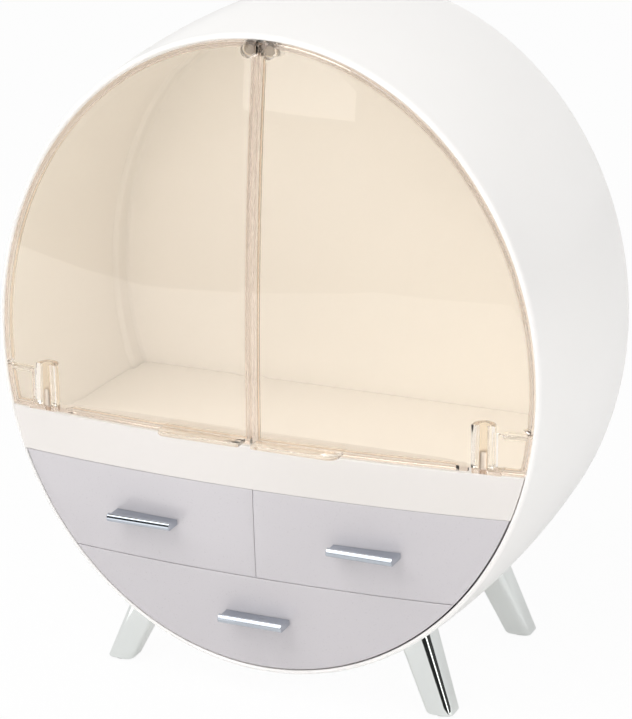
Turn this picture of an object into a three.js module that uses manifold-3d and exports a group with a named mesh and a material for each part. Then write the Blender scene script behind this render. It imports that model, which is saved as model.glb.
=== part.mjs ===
import * as THREE from 'three';
import { mergeVertices } from 'three/addons/utils/BufferGeometryUtils.js';
import Module from 'manifold-3d';

const wasm = await Module();
wasm.setup();

// Oval makeup organizer: a drum shell on four splayed legs, two clear doors over an open
// compartment, two small drawers and one wide drawer below it.
// Sizes are in millimetres. x runs to the right, y from front to back, z up. The working
// origin is the middle of the oval opening, on the plane of the shell's front rim.

// Oval opening and the bulge that doors, fascia and drawer fronts share
const openingWidth = 300;
const openingHeight = 342;
const frontBulge = 12;

// Drum shell and back panel
const shellDepth = 153;
const rimWall = 2.6;
const rimRoll = 4;
const lipEase = 0.6;
const shellWall = 3.2;
const sideSwell = 2.9;
const rearSpread = 2.7;
const rearRoll = 13.5;
const backWall = 3.5;
const spigotWall = 2.6;
const spigotLength = 4;
const cornerFillet = 6;

// Levels of the front, down from the oval's middle, as shares of its half height
const doorBottomShare = 0.2351;
const fasciaBottomShare = 0.3807;
const drawerSplitShare = 0.6813;
const groundDrop = 20;

// Gaps seen on the front, and clearances between pieces
const doorGap = 0.8;
const doorJoint = 1.2;
const frontGap = 0.8;
const drawerGap = 1.5;
const drawerJoint = 0.6;
const seatGap = 0.3;
const runGap = 0.3;
const overrun = 5;

// Doors
const doorWall = 2.4;
const doorDepth = 7;
const tabInner = 5;
const tabWidth = 45;
const tabReach = 20.6;
const tabThickness = 2.2;
const tabLift = 1.3;
const tabRound = 5.5;
const tabEase = 1.2;

// Door hinges: a D-shaped barrel turns on an upright pin beside a fixed clear corner
const hingeInset = 26.5;
const pivotDepth = 0.6;
const pinRadius = 2.4;
const pinTopEase = 0.8;
const pinRise = 9;
const pinSink = 11;
const barrelRadius = 6.2;
const barrelFront = 3.4;
const barrelRise = 25.2;
const earHeight = 2.4;
const earRadius = 6.4;
const cornerRise = 21.6;
const swingGap = 2;
const notchGap = 0.6;
const pinBossRadius = 5.2;

// Door catch at the top of the opening
const magnetRadius = 2.8;
const magnetThickness = 2.2;
const magnetAcross = 5.6;
const magnetDrop = 6;
const magnetBossWall = 1.2;
const catchHeight = 7;
const catchEnd = 0.6;
const catchThickness = 2.4;
const catchSeatDepth = 6;

// Compartment deck and fascia
const deckWall = 2.4;
const ledgeBack = 13;

// Drawer shelf, divider and lower rails
const shelfThickness = 2.2;
const shelfFront = 9;
const ribHeight = 1.2;
const ribWidth = 2;
const innerRibShare = 0.2133;
const outerRibShare = 0.4933;
const dividerThickness = 2.2;
const railShare = 0.2267;
const railWidth = 4;
const railFoot = 16;
const railFootThickness = 2.4;
const railFront = 12;
const railBackGap = 25;

// Drawers
const panelWall = 2.6;
const panelDepth = 7;
const trayWall = 1.8;
const trayFront = 8.5;
const trayBackGap = 17;
const upperTrayDrop = 5.1;
const upperTrayInset = 4;
const lowerTrayDrop = 6.1;
const lowerTrayRise = 19;
const lowerTrayInset = 9;
const trayInner = 2.4;

// Drawer handles
const handleShare = 0.42;
const upperHandleDrop = 0.3;
const lowerHandleShare = 0.427;
const handleWidth = 36.6;
const handleReach = 12.3;
const handlePlate = 3.4;
const barHeight = 4.6;
const barDepth = 4.2;
const barLift = 0.7;
const studSpread = 24;
const studRadius = 1.9;
const studEnd = 3;
const panelBossRadius = 5.2;

// Screws: shank radius, head radius, head height
const handleScrew = { shank: 1.2, head: 2.6, height: 1.8, length: 11 };
const backScrew = { shank: 1.5, head: 2.9, height: 1.6, length: 11 };
const legScrew = { shank: 2.5, head: 4.4, height: 2.4, length: 26 };
const catchScrew = { shank: 1.2, head: 2.3, height: 1.2, length: 6 };
const screwBossRadius = 3.8;
const screwBossLength = 10;
const deckScrewShare = 0.5667;
const shelfScrewShare = 0.3667;

// Legs
const frontFootShare = 0.6333;
const rearFootShare = 0.6633;
const frontFootDepth = 25;
const rearFootGap = 12.5;
const footSize = 15.4;
const legTopSize = 20;
const legRound = 5.5;
const legReach = 62;
const footEase = 1.2;
const legScrewShift = 5;
const sideSplayShare = 0.43;
const foreSplayShare = 0.16;
const padRadius = 5.5;
const padThickness = 2.6;
const padProud = 1;

// Number of flats on round forms
const outlineSteps = 72;
const bulgeSteps = 4;
const sideSteps = 4;
const rollSteps = 4;
const holeSteps = 12;
const screwSteps = 8;
const barrelSteps = 12;
const cornerSteps = 3;

// Two points closer than this are the same point, and no oval point stands within this share
// of a step from the end of its run
const weld = 0.001;
const sliverShare = 0.02;

// Worked out from the sizes above
const openingRadius = openingWidth / 2;
const halfHeight = openingHeight / 2;
const heightShare = openingHeight / openingWidth;
const doorBottom = -halfHeight * doorBottomShare;
const fasciaBottom = -halfHeight * fasciaBottomShare;
const drawerSplit = -halfHeight * drawerSplitShare;
const groundLevel = -halfHeight - groundDrop;
const rimOuter = openingRadius + rimWall;
const seamDepth = shellDepth - rearRoll;
const backInner = shellDepth - backWall;
const doorEdge = openingRadius - doorGap;
const drawerEdge = openingRadius - drawerGap;
const fasciaTop = doorBottom - frontGap;
const floorTop = fasciaBottom + deckWall;
const pivotAcross = openingRadius - hingeInset;
const barrelTop = doorBottom + barrelRise;
const cornerTop = doorBottom + cornerRise;
const cornerBottom = fasciaTop + seatGap;
const earTop = cornerBottom + earHeight;
const barrelBottom = earTop + runGap;
const notchTop = cornerTop + notchGap;
const cornerInner = pivotAcross + barrelRadius + swingGap;
const earClear = pivotAcross - earRadius - frontGap;
const upperDrawerTop = fasciaBottom - frontGap;
const upperDrawerBottom = drawerSplit + frontGap / 2;
const lowerDrawerTop = drawerSplit - frontGap / 2;
const shelfTop = upperDrawerBottom - ribHeight;
const shelfBottom = shelfTop - shelfThickness;
const upperTrayTop = upperDrawerTop - upperTrayDrop;
const upperTrayBottom = shelfTop + ribHeight + seatGap;
const lowerTrayTop = lowerDrawerTop - lowerTrayDrop;
const lowerTrayBottom = -halfHeight + lowerTrayRise;
const trayBack = shellDepth - trayBackGap;
const railAcross = openingRadius * railShare;
const railBack = shellDepth - railBackGap;
const handleAcross = openingRadius * handleShare;
const upperHandleLevel = (upperDrawerTop + upperDrawerBottom) / 2 - upperHandleDrop;
const lowerHandleLevel = lowerDrawerTop - (halfHeight + lowerDrawerTop) * lowerHandleShare;
const magnetLevel = halfHeight - magnetDrop;
const catchTop = magnetLevel + catchHeight / 2;
const magnetBack = bulgeAt(catchTop / heightShare) + doorDepth;
const catchFront = magnetBack + seatGap;
const catchWidth = 2 * (magnetAcross + magnetRadius + catchEnd);

// Solids

// A closed solid with its faces pointing out, from any three.js geometry
function solid(geometry) {
  geometry.deleteAttribute('normal');
  geometry.deleteAttribute('uv');
  const merged = mergeVertices(geometry, weld);
  const index = merged.index.array;
  const at = merged.attributes.position;
  const corners = [new THREE.Vector3(), new THREE.Vector3(), new THREE.Vector3()];
  const kept = [];
  let volume = 0;
  for (let i = 0; i < index.length; i += 3) {
    const [a, b, c] = index.subarray(i, i + 3);
    if (a === b || b === c || c === a) continue;
    kept.push(a, b, c);
    [a, b, c].forEach((vertex, k) => corners[k].fromBufferAttribute(at, vertex));
    volume += corners[0].dot(corners[1].cross(corners[2]));
  }
  if (volume < 0) kept.reverse();
  const mesh = new wasm.Mesh({
    numProp: 3,
    vertProperties: Float32Array.from(at.array),
    triVerts: Uint32Array.from(kept),
  });
  mesh.merge();
  return new wasm.Manifold(mesh);
}

function unite(first, ...others) {
  return others.reduce((whole, other) => whole.add(other), first);
}

function cutFrom(first, ...cutters) {
  return cutters.reduce((whole, cutter) => whole.subtract(cutter), first);
}

// A profile of [half width, depth] points turned about the depth axis and drawn out to the oval
function ovalRevolve(profile) {
  const points = profile.map(([across, depth]) => new THREE.Vector2(across, depth));
  const geometry = new THREE.LatheGeometry(points, outlineSteps);
  geometry.scale(1, 1, heightShare);
  return solid(geometry);
}

// A profile of [radius, distance] points turned about a line from a point along a direction
function turned(profile, from, direction, steps = holeSteps) {
  const points = profile.map(([radius, along]) => new THREE.Vector2(radius, along));
  const geometry = new THREE.LatheGeometry(points, steps);
  const turn = new THREE.Quaternion();
  turn.setFromUnitVectors(new THREE.Vector3(0, 1, 0), direction.clone().normalize());
  geometry.applyQuaternion(turn);
  geometry.translate(from.x, from.y, from.z);
  return solid(geometry);
}

function rod(radius, from, to, steps = holeSteps) {
  const direction = new THREE.Vector3().subVectors(to, from);
  const length = direction.length();
  return turned([[0, 0], [radius, 0], [radius, length], [0, length]], from, direction, steps);
}

function shapeOf(points) {
  return new THREE.Shape(points.map(([across, up]) => new THREE.Vector2(across, up)));
}

// An outline of [x, z] points carried from one depth to another
function depthSlab(points, front, back) {
  const geometry = new THREE.ExtrudeGeometry(shapeOf(points), { depth: back - front, bevelEnabled: false });
  geometry.rotateX(Math.PI / 2);
  geometry.translate(0, back, 0);
  return solid(geometry);
}

// An outline of [x, y] points carried from one level to another
function levelSlab(points, low, high) {
  const geometry = new THREE.ExtrudeGeometry(shapeOf(points), { depth: high - low, bevelEnabled: false });
  geometry.translate(0, 0, low);
  return solid(geometry);
}

// An outline of [y, z] points carried from left to right
function sideSlab(points, left, right) {
  const geometry = new THREE.ExtrudeGeometry(shapeOf(points), { depth: right - left, bevelEnabled: false });
  const [x, y, z] = [[0, 1, 0], [0, 0, 1], [1, 0, 0]].map((axis) => new THREE.Vector3(...axis));
  geometry.applyMatrix4(new THREE.Matrix4().makeBasis(x, y, z));
  geometry.translate(left, 0, 0);
  return solid(geometry);
}

function box(left, right, low, high) {
  return [[left, low], [right, low], [right, high], [left, high]];
}

// A box outline with every corner rounded by the same radius
function roundedBox(left, right, low, high, radius, steps = cornerSteps) {
  const middles = [
    [right - radius, high - radius],
    [left + radius, high - radius],
    [left + radius, low + radius],
    [right - radius, low + radius],
  ];
  return middles.flatMap(([across, up], quarter) => (
    arc(across, up, radius, radius, quarter * Math.PI / 2, (quarter + 1) * Math.PI / 2, steps)
  ));
}

function arc(across, up, radiusAcross, radiusUp, from, to, steps) {
  return Array.from({ length: steps + 1 }, (_, i) => {
    const angle = from + (to - from) * i / steps;
    return [across + radiusAcross * Math.cos(angle), up + radiusUp * Math.sin(angle)];
  });
}

// Rings with equal numbers of points, skinned one to the next and closed at both ends
function loft(rings) {
  const count = rings[0].length;
  const last = (rings.length - 1) * count;
  const faces = [];
  for (let ring = 0; ring < rings.length - 1; ring += 1) {
    for (let i = 0; i < count; i += 1) {
      const a = ring * count + i;
      const b = ring * count + (i + 1) % count;
      faces.push(a, b, b + count, a, b + count, a + count);
    }
  }
  for (let i = 1; i < count - 1; i += 1) {
    faces.push(0, i + 1, i, last, last + i, last + i + 1);
  }
  const geometry = new THREE.BufferGeometry();
  geometry.setAttribute('position', new THREE.Float32BufferAttribute(rings.flat(2), 3));
  geometry.setIndex(faces);
  return solid(geometry);
}

// Curves of the oval body

// Depth of the bulged front at a half width; negative is in front of the rim plane
function bulgeAt(across) {
  return -frontBulge * (1 - (across / openingRadius) ** 2);
}

// Depth of the bulged front at a point seen from the front
function surfaceAt(across, level) {
  return bulgeAt(Math.hypot(across, level / heightShare));
}

// Half width of the shell's outside at a depth: wider to the rear, swelling between
function outerAt(depth) {
  const share = (depth - rimRoll) / (seamDepth - rimRoll);
  return rimOuter + rearSpread * share + 4 * sideSwell * share * (1 - share);
}

function innerAt(depth) {
  return Math.max(openingRadius, outerAt(depth) - shellWall);
}

// Points of an oval anticlockwise between two levels on the right side
function ovalSide(halfWidth, low, high) {
  const step = 2 * Math.PI / outlineSteps;
  const tall = halfWidth * heightShare;
  const from = Math.asin(low / tall) / step;
  const to = Math.asin(high / tall) / step;
  const places = [from];
  for (let i = Math.ceil(from + sliverShare); i < to - sliverShare; i += 1) places.push(i);
  places.push(to);
  return places.map((place) => [halfWidth * Math.cos(place * step), tall * Math.sin(place * step)]);
}

function mirroredPoints(points) {
  return points.map(([across, up]) => [-across, up]).reverse();
}

// The part of the oval between two levels, both sides
function ovalBand(halfWidth, low, high) {
  const right = ovalSide(halfWidth, low, high);
  return [...right, ...mirroredPoints(right)];
}

function frontCurve(offset) {
  const reach = openingRadius + overrun;
  return Array.from({ length: bulgeSteps + 1 }, (_, i) => {
    const across = reach * i / bulgeSteps;
    return [across, bulgeAt(across) + offset];
  });
}

// The layer between two offsets of the bulged front
function frontLayer(front, back) {
  return ovalRevolve([...frontCurve(front), ...frontCurve(back).reverse()]);
}

function behindFront(offset) {
  return ovalRevolve([...frontCurve(offset), [openingRadius + overrun, shellDepth], [0, shellDepth]]);
}

function depths(from, to, steps) {
  return Array.from({ length: steps + 1 }, (_, i) => from + (to - from) * i / steps);
}

// Everything inside the shell and back panel, drawn in by a clearance
function cavity(clearance) {
  const spigotInner = outerAt(seamDepth) - shellWall - seatGap - spigotWall;
  const spigotFront = seamDepth - spigotLength;
  return ovalRevolve([
    [0, -frontBulge - overrun],
    [openingRadius - clearance, -frontBulge - overrun],
    ...depths(0, spigotFront - clearance, sideSteps).map((depth) => [innerAt(depth) - clearance, depth]),
    [spigotInner - clearance, spigotFront - clearance],
    ...arc(
      spigotInner - cornerFillet,
      backInner - cornerFillet,
      cornerFillet - clearance,
      cornerFillet - clearance,
      0,
      Math.PI / 2,
      rollSteps,
    ),
    [0, backInner - clearance],
  ]);
}

const inside = cavity(seatGap);
const front = behindFront(0);

// A moulded front: a bulged skin, its edges turned back except where the hollow outline passes
// the outer one
function mouldedFront(outline, hollowOutline, wall, depth) {
  const near = -frontBulge - overrun;
  const whole = depthSlab(outline, near, overrun + depth).intersect(frontLayer(0, depth));
  const hollow = depthSlab(hollowOutline, near, 2 * overrun + depth);
  return whole.subtract(hollow.intersect(frontLayer(wall, depth + overrun)));
}

// Screws and screw holes

function screw(size, seat, direction) {
  const top = -size.height - seatGap;
  return turned([
    [0, top],
    [size.head / 2, top],
    [size.head, top + size.height / 2],
    [size.head, -seatGap],
    [size.shank, -seatGap],
    [size.shank, size.length - size.shank],
    [0, size.length],
  ], seat, direction, screwSteps);
}

// A straight hole for a screw's shank, reaching past both ends by the overrun
function shankHole(size, seat, direction, length = size.length) {
  const unit = direction.clone().normalize();
  const from = seat.clone().addScaledVector(unit, -overrun);
  return rod(size.shank + seatGap, from, seat.clone().addScaledVector(unit, length + overrun));
}

function headRecess(size, seat, direction) {
  const unit = direction.clone().normalize();
  const from = seat.clone().addScaledVector(unit, -size.height - overrun);
  return rod(size.head + seatGap, from, seat);
}

// Legs

function legAxis(fore) {
  return new THREE.Vector3(-sideSplayShare, fore * foreSplayShare, 1);
}

function footAt(fore) {
  const share = fore > 0 ? frontFootShare : rearFootShare;
  const depth = fore > 0 ? frontFootDepth : shellDepth - rearFootGap;
  return new THREE.Vector3(openingRadius * share, depth, groundLevel);
}

// Where a leg's axis meets an oval of a given half width, going up from the ground
function legMeets(fore, halfWidth) {
  const foot = footAt(fore);
  const wide = 1 / halfWidth ** 2;
  const tall = 1 / (halfWidth * heightShare) ** 2;
  const a = wide * sideSplayShare ** 2 + tall;
  const b = 2 * (tall * groundLevel - wide * foot.x * sideSplayShare);
  const c = wide * foot.x ** 2 + tall * groundLevel ** 2 - 1;
  const height = (-b - Math.sqrt(b * b - 4 * a * c)) / (2 * a);
  return foot.addScaledVector(legAxis(fore), height);
}

// A leg screw's seat, sunk a little below the shell's inner face and nearer the body's middle
// depth than the leg's axis
function legScrewSeat(fore) {
  const near = legMeets(fore, innerAt(footAt(fore).y));
  const seat = near.addScaledVector(legAxis(fore).normalize(), -shellWall / 3);
  seat.y += fore * legScrewShift;
  return seat;
}

function legRing(fore, height, size) {
  const foot = footAt(fore);
  const middle = foot.clone().addScaledVector(legAxis(fore), height);
  const ring = roundedBox(-size / 2, size / 2, -size / 2, size / 2, legRound * size / legTopSize);
  return ring.map(([across, depth]) => [middle.x + across, middle.y + depth, middle.z]);
}

function leg(fore) {
  const rings = [
    legRing(fore, padProud, footSize - 2 * footEase),
    legRing(fore, padProud + footEase, footSize),
    legRing(fore, legReach, legTopSize),
  ];
  const foot = footAt(fore);
  const padTop = foot.clone().setZ(groundLevel + padThickness + seatGap);
  const padHole = rod(padRadius + seatGap, foot.clone().setZ(groundLevel - overrun), padTop);
  return cutFrom(
    loft(rings),
    bodyOutside(seatGap),
    shankHole(legScrew, legScrewSeat(fore), legAxis(fore).negate(), legScrew.length - overrun),
    padHole,
  );
}

function footPad(fore) {
  const foot = footAt(fore);
  return rod(padRadius, foot, foot.clone().setZ(groundLevel + padThickness));
}

// Shell

function outerSide(clearance) {
  return depths(rimRoll, seamDepth, sideSteps).map((depth) => [outerAt(depth) + clearance, depth]);
}

// The rolled rear edge, from the seam round to the flat back
function rearArc(start, clearance) {
  return arc(
    outerAt(seamDepth) - rearRoll,
    start,
    rearRoll + clearance,
    shellDepth - start + clearance,
    0,
    Math.PI / 2,
    rollSteps,
  );
}

// The closed body's outer form, spread by a clearance
function bodyOutside(clearance) {
  const side = outerSide(clearance);
  const back = [0, shellDepth + clearance];
  return ovalRevolve([[0, -overrun], [rimOuter, -overrun], ...side, ...rearArc(seamDepth, clearance), back]);
}

function drumShell() {
  const rimArc = arc(
    openingRadius + lipEase,
    rimRoll,
    rimWall - lipEase,
    rimRoll,
    -Math.PI / 2,
    0,
    rollSteps,
  );
  const innerSide = depths(seamDepth, rimRoll, sideSteps).map((depth) => [innerAt(depth), depth]);
  const wall = ovalRevolve([
    [openingRadius, lipEase],
    ...rimArc,
    ...outerSide(0).slice(1),
    ...innerSide,
    [openingRadius, lipEase],
  ]);
  const seatFront = catchFront + catchThickness + seatGap;
  const seatBack = seatFront + catchSeatDepth;
  const seatOutline = box(
    -catchWidth / 2,
    catchWidth / 2,
    catchTop - catchHeight,
    halfHeight + shellWall / 2,
  );
  const catchSeat = depthSlab(seatOutline, seatFront, seatBack);
  const holes = [1, -1].flatMap((fore) => {
    const seat = legScrewSeat(fore);
    const down = legAxis(fore).negate();
    return [shankHole(legScrew, seat, down), headRecess(legScrew, seat, down)];
  });
  const bothSides = [...holes, ...holes.map(mirroredSolid)];
  const whole = unite(wall, catchSeat.intersect(bodyOutside(0)));
  return cutFrom(whole, ...bothSides, shankHole(catchScrew, catchScrewSeat, backward));
}

function backPanel() {
  const spigotOuter = outerAt(seamDepth) - shellWall - seatGap;
  const spigotInner = spigotOuter - spigotWall;
  const spigotFront = seamDepth - spigotLength;
  const panel = ovalRevolve([
    [0, shellDepth],
    ...rearArc(seamDepth + seatGap, 0).reverse(),
    [spigotOuter, seamDepth + seatGap],
    [spigotOuter, spigotFront],
    [spigotInner, spigotFront],
    ...arc(
      spigotInner - cornerFillet,
      backInner - cornerFillet,
      cornerFillet,
      cornerFillet,
      0,
      Math.PI / 2,
      rollSteps,
    ),
    [0, backInner],
  ]);
  const cuts = backScrewSeats().flatMap((seat) => (
    [shankHole(backScrew, seat, forward), headRecess(backScrew, seat, forward)]
  ));
  return cutFrom(panel, ...cuts);
}

const forward = new THREE.Vector3(0, -1, 0);
const backward = new THREE.Vector3(0, 1, 0);

// The catch screw's seat, its head flush with the plate's front
const catchScrewSeat = new THREE.Vector3(0, catchFront + catchScrew.height + seatGap, magnetLevel);

// Back screws: two into the deck's bosses, two into the shelf's
function backScrewSeats() {
  const depth = shellDepth - backScrew.height - 2 * seatGap;
  const pair = (across, level) => [across, -across].map((x) => new THREE.Vector3(x, depth, level));
  return [
    ...pair(openingRadius * deckScrewShare, fasciaBottom - screwBossRadius),
    ...pair(openingRadius * shelfScrewShare, shelfBottom - screwBossRadius),
  ];
}

// A boss under a plate's rear edge, holding one back screw
function screwBoss(seat, plateBottom) {
  const back = backInner - seatGap;
  const outline = [
    [seat.x - screwBossRadius, plateBottom + overrun / 4],
    ...arc(seat.x, seat.z, screwBossRadius, screwBossRadius, Math.PI, 2 * Math.PI, holeSteps / 2),
    [seat.x + screwBossRadius, plateBottom + overrun / 4],
  ];
  return depthSlab(outline, back - screwBossLength, back);
}

// Doors

// The door's oval edge from a level up to an upright line beside the doors' joint
function doorArc(edge, low, left) {
  const top = edge * heightShare * Math.sin(Math.acos(left / edge));
  return ovalSide(edge, low, top);
}

function doorOutline() {
  const notchSide = pivotAcross + barrelRadius;
  return [
    [doorJoint / 2, doorBottom],
    [earClear, doorBottom],
    [earClear, barrelBottom],
    [notchSide, barrelBottom],
    [notchSide, notchTop],
    ...doorArc(doorEdge, notchTop, doorJoint / 2),
  ];
}

// Inside the door's turned back edges, and past the edges round the notch, which stay flat
function doorHollow() {
  const left = doorJoint / 2 + doorWall;
  const notchSide = pivotAcross + barrelRadius + doorWall;
  const notchLow = notchTop - doorWall;
  return [
    [left, doorBottom + doorWall],
    [earClear - doorWall, doorBottom + doorWall],
    [earClear - doorWall, barrelBottom - doorWall],
    [notchSide, barrelBottom - doorWall],
    [notchSide, notchLow],
    ...doorArc(doorEdge - doorWall, notchLow, left),
  ];
}

// The barrel: flat in front where it joins the door's skin, round at the back
function barrel() {
  const section = [
    ...arc(pivotAcross, pivotDepth, barrelRadius, barrelRadius, 0, Math.PI, barrelSteps),
    [pivotAcross - barrelRadius, -barrelFront],
    [pivotAcross + barrelRadius, -barrelFront],
  ];
  return levelSlab(section, barrelBottom, barrelTop).intersect(front);
}

function pinHole(radius, low, high) {
  const at = (level) => new THREE.Vector3(pivotAcross, pivotDepth, level);
  return rod(radius, at(low), at(high));
}

function fingerTab() {
  const right = tabInner + tabWidth;
  const low = doorBottom + tabLift;
  const plan = [
    [tabInner, 0],
    [tabInner, -tabReach + tabEase],
    [tabInner + tabEase, -tabReach],
    ...arc(right - tabRound, -tabReach + tabRound, tabRound, tabRound, -Math.PI / 2, 0, rollSteps),
    [right, 0],
  ];
  return levelSlab(plan, low, low + tabThickness).subtract(behindFront(doorWall / 2));
}

function magnetBoss() {
  const at = (depth) => new THREE.Vector3(magnetAcross, depth, magnetLevel);
  const skin = bulgeAt(magnetLevel / heightShare);
  const boss = rod(magnetRadius + magnetBossWall, at(skin), at(magnetBack));
  return boss.intersect(behindFront(doorWall / 2));
}

function magnetPocket() {
  const at = (depth) => new THREE.Vector3(magnetAcross, depth, magnetLevel);
  const pocketFront = magnetBack - magnetThickness - seatGap;
  return rod(magnetRadius + seatGap / 2, at(pocketFront), at(magnetBack + overrun));
}

function door() {
  const skin = mouldedFront(doorOutline(), doorHollow(), doorWall, doorDepth);
  const whole = unite(skin, barrel(), fingerTab(), magnetBoss());
  const bore = pinHole(pinRadius + runGap, barrelBottom - overrun, barrelTop + overrun);
  return cutFrom(whole, bore, magnetPocket());
}

function doorMagnet() {
  const at = (depth) => new THREE.Vector3(magnetAcross, depth, magnetLevel);
  return rod(magnetRadius, at(magnetBack - magnetThickness), at(magnetBack));
}

// The fixed corner seen from the front, from its inner side to the oval edge
function cornerOutline(inner, inset) {
  return [
    [inner, cornerTop - inset],
    [inner, cornerBottom + inset],
    ...ovalSide(doorEdge - inset, cornerBottom + inset, cornerTop - inset),
  ];
}

// Fixed clear corner that fills the door's notch, its inner side left open, with an ear under
// the barrel for the pin
function hingeCorner() {
  const outline = cornerOutline(cornerInner, 0);
  const hollow = cornerOutline(cornerInner - doorWall, doorWall);
  const block = mouldedFront(outline, hollow, doorWall, doorDepth);
  const earPlan = [
    ...arc(pivotAcross, pivotDepth, earRadius, earRadius, Math.PI / 2, 3 * Math.PI / 2, barrelSteps),
    [cornerInner + doorWall, pivotDepth - earRadius],
    [cornerInner + doorWall, pivotDepth + earRadius],
  ];
  const ear = levelSlab(earPlan, cornerBottom, earTop).intersect(frontLayer(0, doorDepth));
  return unite(block, ear).subtract(pinHole(pinRadius + seatGap / 2, cornerBottom - overrun, cornerTop));
}

function hingePin() {
  const bottom = fasciaTop - pinSink + seatGap;
  const length = barrelBottom + pinRise - bottom;
  return turned([
    [0, 0],
    [pinRadius, 0],
    [pinRadius, length - pinTopEase],
    [pinRadius - pinTopEase, length],
    [0, length],
  ], new THREE.Vector3(pivotAcross, pivotDepth, bottom), new THREE.Vector3(0, 0, 1));
}

// Door catch

function catchPlate() {
  const outline = roundedBox(
    -catchWidth / 2,
    catchWidth / 2,
    catchTop - catchHeight,
    catchTop,
    catchHeight / 4,
  );
  const plate = depthSlab(outline, catchFront, catchFront + catchThickness);
  return cutFrom(
    plate,
    headRecess(catchScrew, catchScrewSeat, backward),
    shankHole(catchScrew, catchScrewSeat, backward),
  );
}

// Compartment deck: fascia, ledge under the doors and the sunk floor behind it

function compartmentDeck() {
  const near = -frontBulge - overrun;
  const edge = openingRadius + overrun;
  const wide = (low, high) => box(-edge, edge, low, high);
  const fascia = depthSlab(wide(fasciaBottom, fasciaTop), near, overrun).intersect(frontLayer(0, deckWall));
  const ledge = depthSlab(wide(fasciaTop - deckWall, fasciaTop), near, ledgeBack);
  const step = depthSlab(wide(fasciaBottom, fasciaTop), ledgeBack - deckWall, ledgeBack);
  const floor = depthSlab(wide(fasciaBottom, floorTop), ledgeBack - deckWall, shellDepth);
  const bossAt = (side) => {
    const at = (level) => new THREE.Vector3(side * pivotAcross, pivotDepth, level);
    return rod(pinBossRadius, at(fasciaTop - pinSink - deckWall), at(fasciaTop));
  };
  const bosses = backScrewSeats().slice(0, 2).map((seat) => screwBoss(seat, fasciaBottom));
  const body = unite(fascia, ledge, step, floor, bossAt(1), bossAt(-1), ...bosses);
  const pinCut = pinHole(pinRadius + seatGap / 2, fasciaTop - pinSink, fasciaTop + overrun);
  const cuts = backScrewSeats().slice(0, 2).map((seat) => shankHole(backScrew, seat, forward));
  return cutFrom(body.intersect(inside).intersect(front), pinCut, mirroredSolid(pinCut), ...cuts);
}

// Shelf under the upper drawers, with ribs that they slide on

function drawerShelf() {
  const edge = openingRadius + overrun;
  const plate = depthSlab(box(-edge, edge, shelfBottom, shelfTop), shelfFront, shellDepth);
  const places = [openingRadius * innerRibShare, openingRadius * outerRibShare];
  const ribs = [...places, ...places.map((place) => -place)].map((middle) => (
    depthSlab(
      box(middle - ribWidth / 2, middle + ribWidth / 2, shelfTop - shelfThickness / 2, shelfTop + ribHeight),
      shelfFront,
      trayBack,
    )
  ));
  const seats = backScrewSeats().slice(2);
  const bosses = seats.map((seat) => screwBoss(seat, shelfBottom));
  const cuts = seats.map((seat) => shankHole(backScrew, seat, forward));
  return cutFrom(unite(plate, ...ribs, ...bosses).intersect(inside), ...cuts);
}

function drawerDivider() {
  const half = dividerThickness / 2;
  return depthSlab(
    box(-half, half, shelfTop + seatGap, fasciaBottom - seatGap),
    ledgeBack,
    backInner - seatGap,
  );
}

// A rail on the shell's inner bottom, with a foot that follows the wall
function lowerRail() {
  const foot = depthSlab(
    box(railAcross - railFoot / 2, railAcross + railFoot / 2, -openingHeight, lowerTrayBottom),
    railFront,
    railBack,
  );
  const layer = inside.subtract(cavity(seatGap + railFootThickness));
  const rib = depthSlab(
    box(railAcross - railWidth / 2, railAcross + railWidth / 2, -openingHeight, lowerTrayBottom - seatGap),
    railFront,
    railBack,
  );
  return unite(foot.intersect(layer), rib.intersect(inside));
}

// Drawers

function upperPanelOutline(inset) {
  return [
    [drawerJoint / 2 + inset, upperDrawerTop - inset],
    [drawerJoint / 2 + inset, upperDrawerBottom + inset],
    ...ovalSide(drawerEdge - inset, upperDrawerBottom + inset, upperDrawerTop - inset),
  ];
}

// The bottom of the oval, from one side of the lower drawer round to the other
function bowl(halfWidth, top) {
  const side = ovalSide(halfWidth, -halfWidth * heightShare, top);
  return [...side, ...mirroredPoints(side).slice(0, -1)];
}

function lowerPanelOutline(inset) {
  return bowl(drawerEdge - inset, lowerDrawerTop - inset);
}

// Where a handle's two studs and screws are
function studPlaces(across, level) {
  return [across - studSpread / 2, across + studSpread / 2].map((x) => new THREE.Vector3(x, 0, level));
}

function drawerPanel(outline, across, level) {
  const panel = mouldedFront(outline(0), outline(panelWall), panelWall, panelDepth);
  const places = studPlaces(across, level);
  const bosses = places.map((place) => (
    rod(panelBossRadius, place.clone().setY(-frontBulge), place.clone().setY(trayFront - seatGap))
      .intersect(behindFront(panelWall / 2))
  ));
  const holes = places.map((place) => (
    rod(studRadius + seatGap, place.clone().setY(-frontBulge - overrun), place.clone().setY(trayFront))
  ));
  return cutFrom(unite(panel, ...bosses), ...holes);
}

// A tray open at the top: one outline for its outside, one drawn in by the wall for its hollow
function tray(outline, top, across, level) {
  const body = depthSlab(outline(0, top), trayFront, trayBack);
  const hollow = depthSlab(outline(trayWall, top + overrun), trayFront + trayWall, trayBack - trayWall);
  const holes = studPlaces(across, level).map((place) => (
    shankHole(handleScrew, place.setY(trayFront + trayWall), forward, trayWall)
  ));
  return cutFrom(body, hollow, ...holes);
}

function upperTrayOutline(inset, top) {
  const edge = drawerEdge - upperTrayInset - inset;
  const low = upperTrayBottom + inset;
  return [[trayInner + inset, top], [trayInner + inset, low], ...ovalSide(edge, low, top)];
}

function lowerTrayOutline(inset, top) {
  return ovalBand(openingRadius - lowerTrayInset - inset, lowerTrayBottom + inset, top);
}

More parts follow.
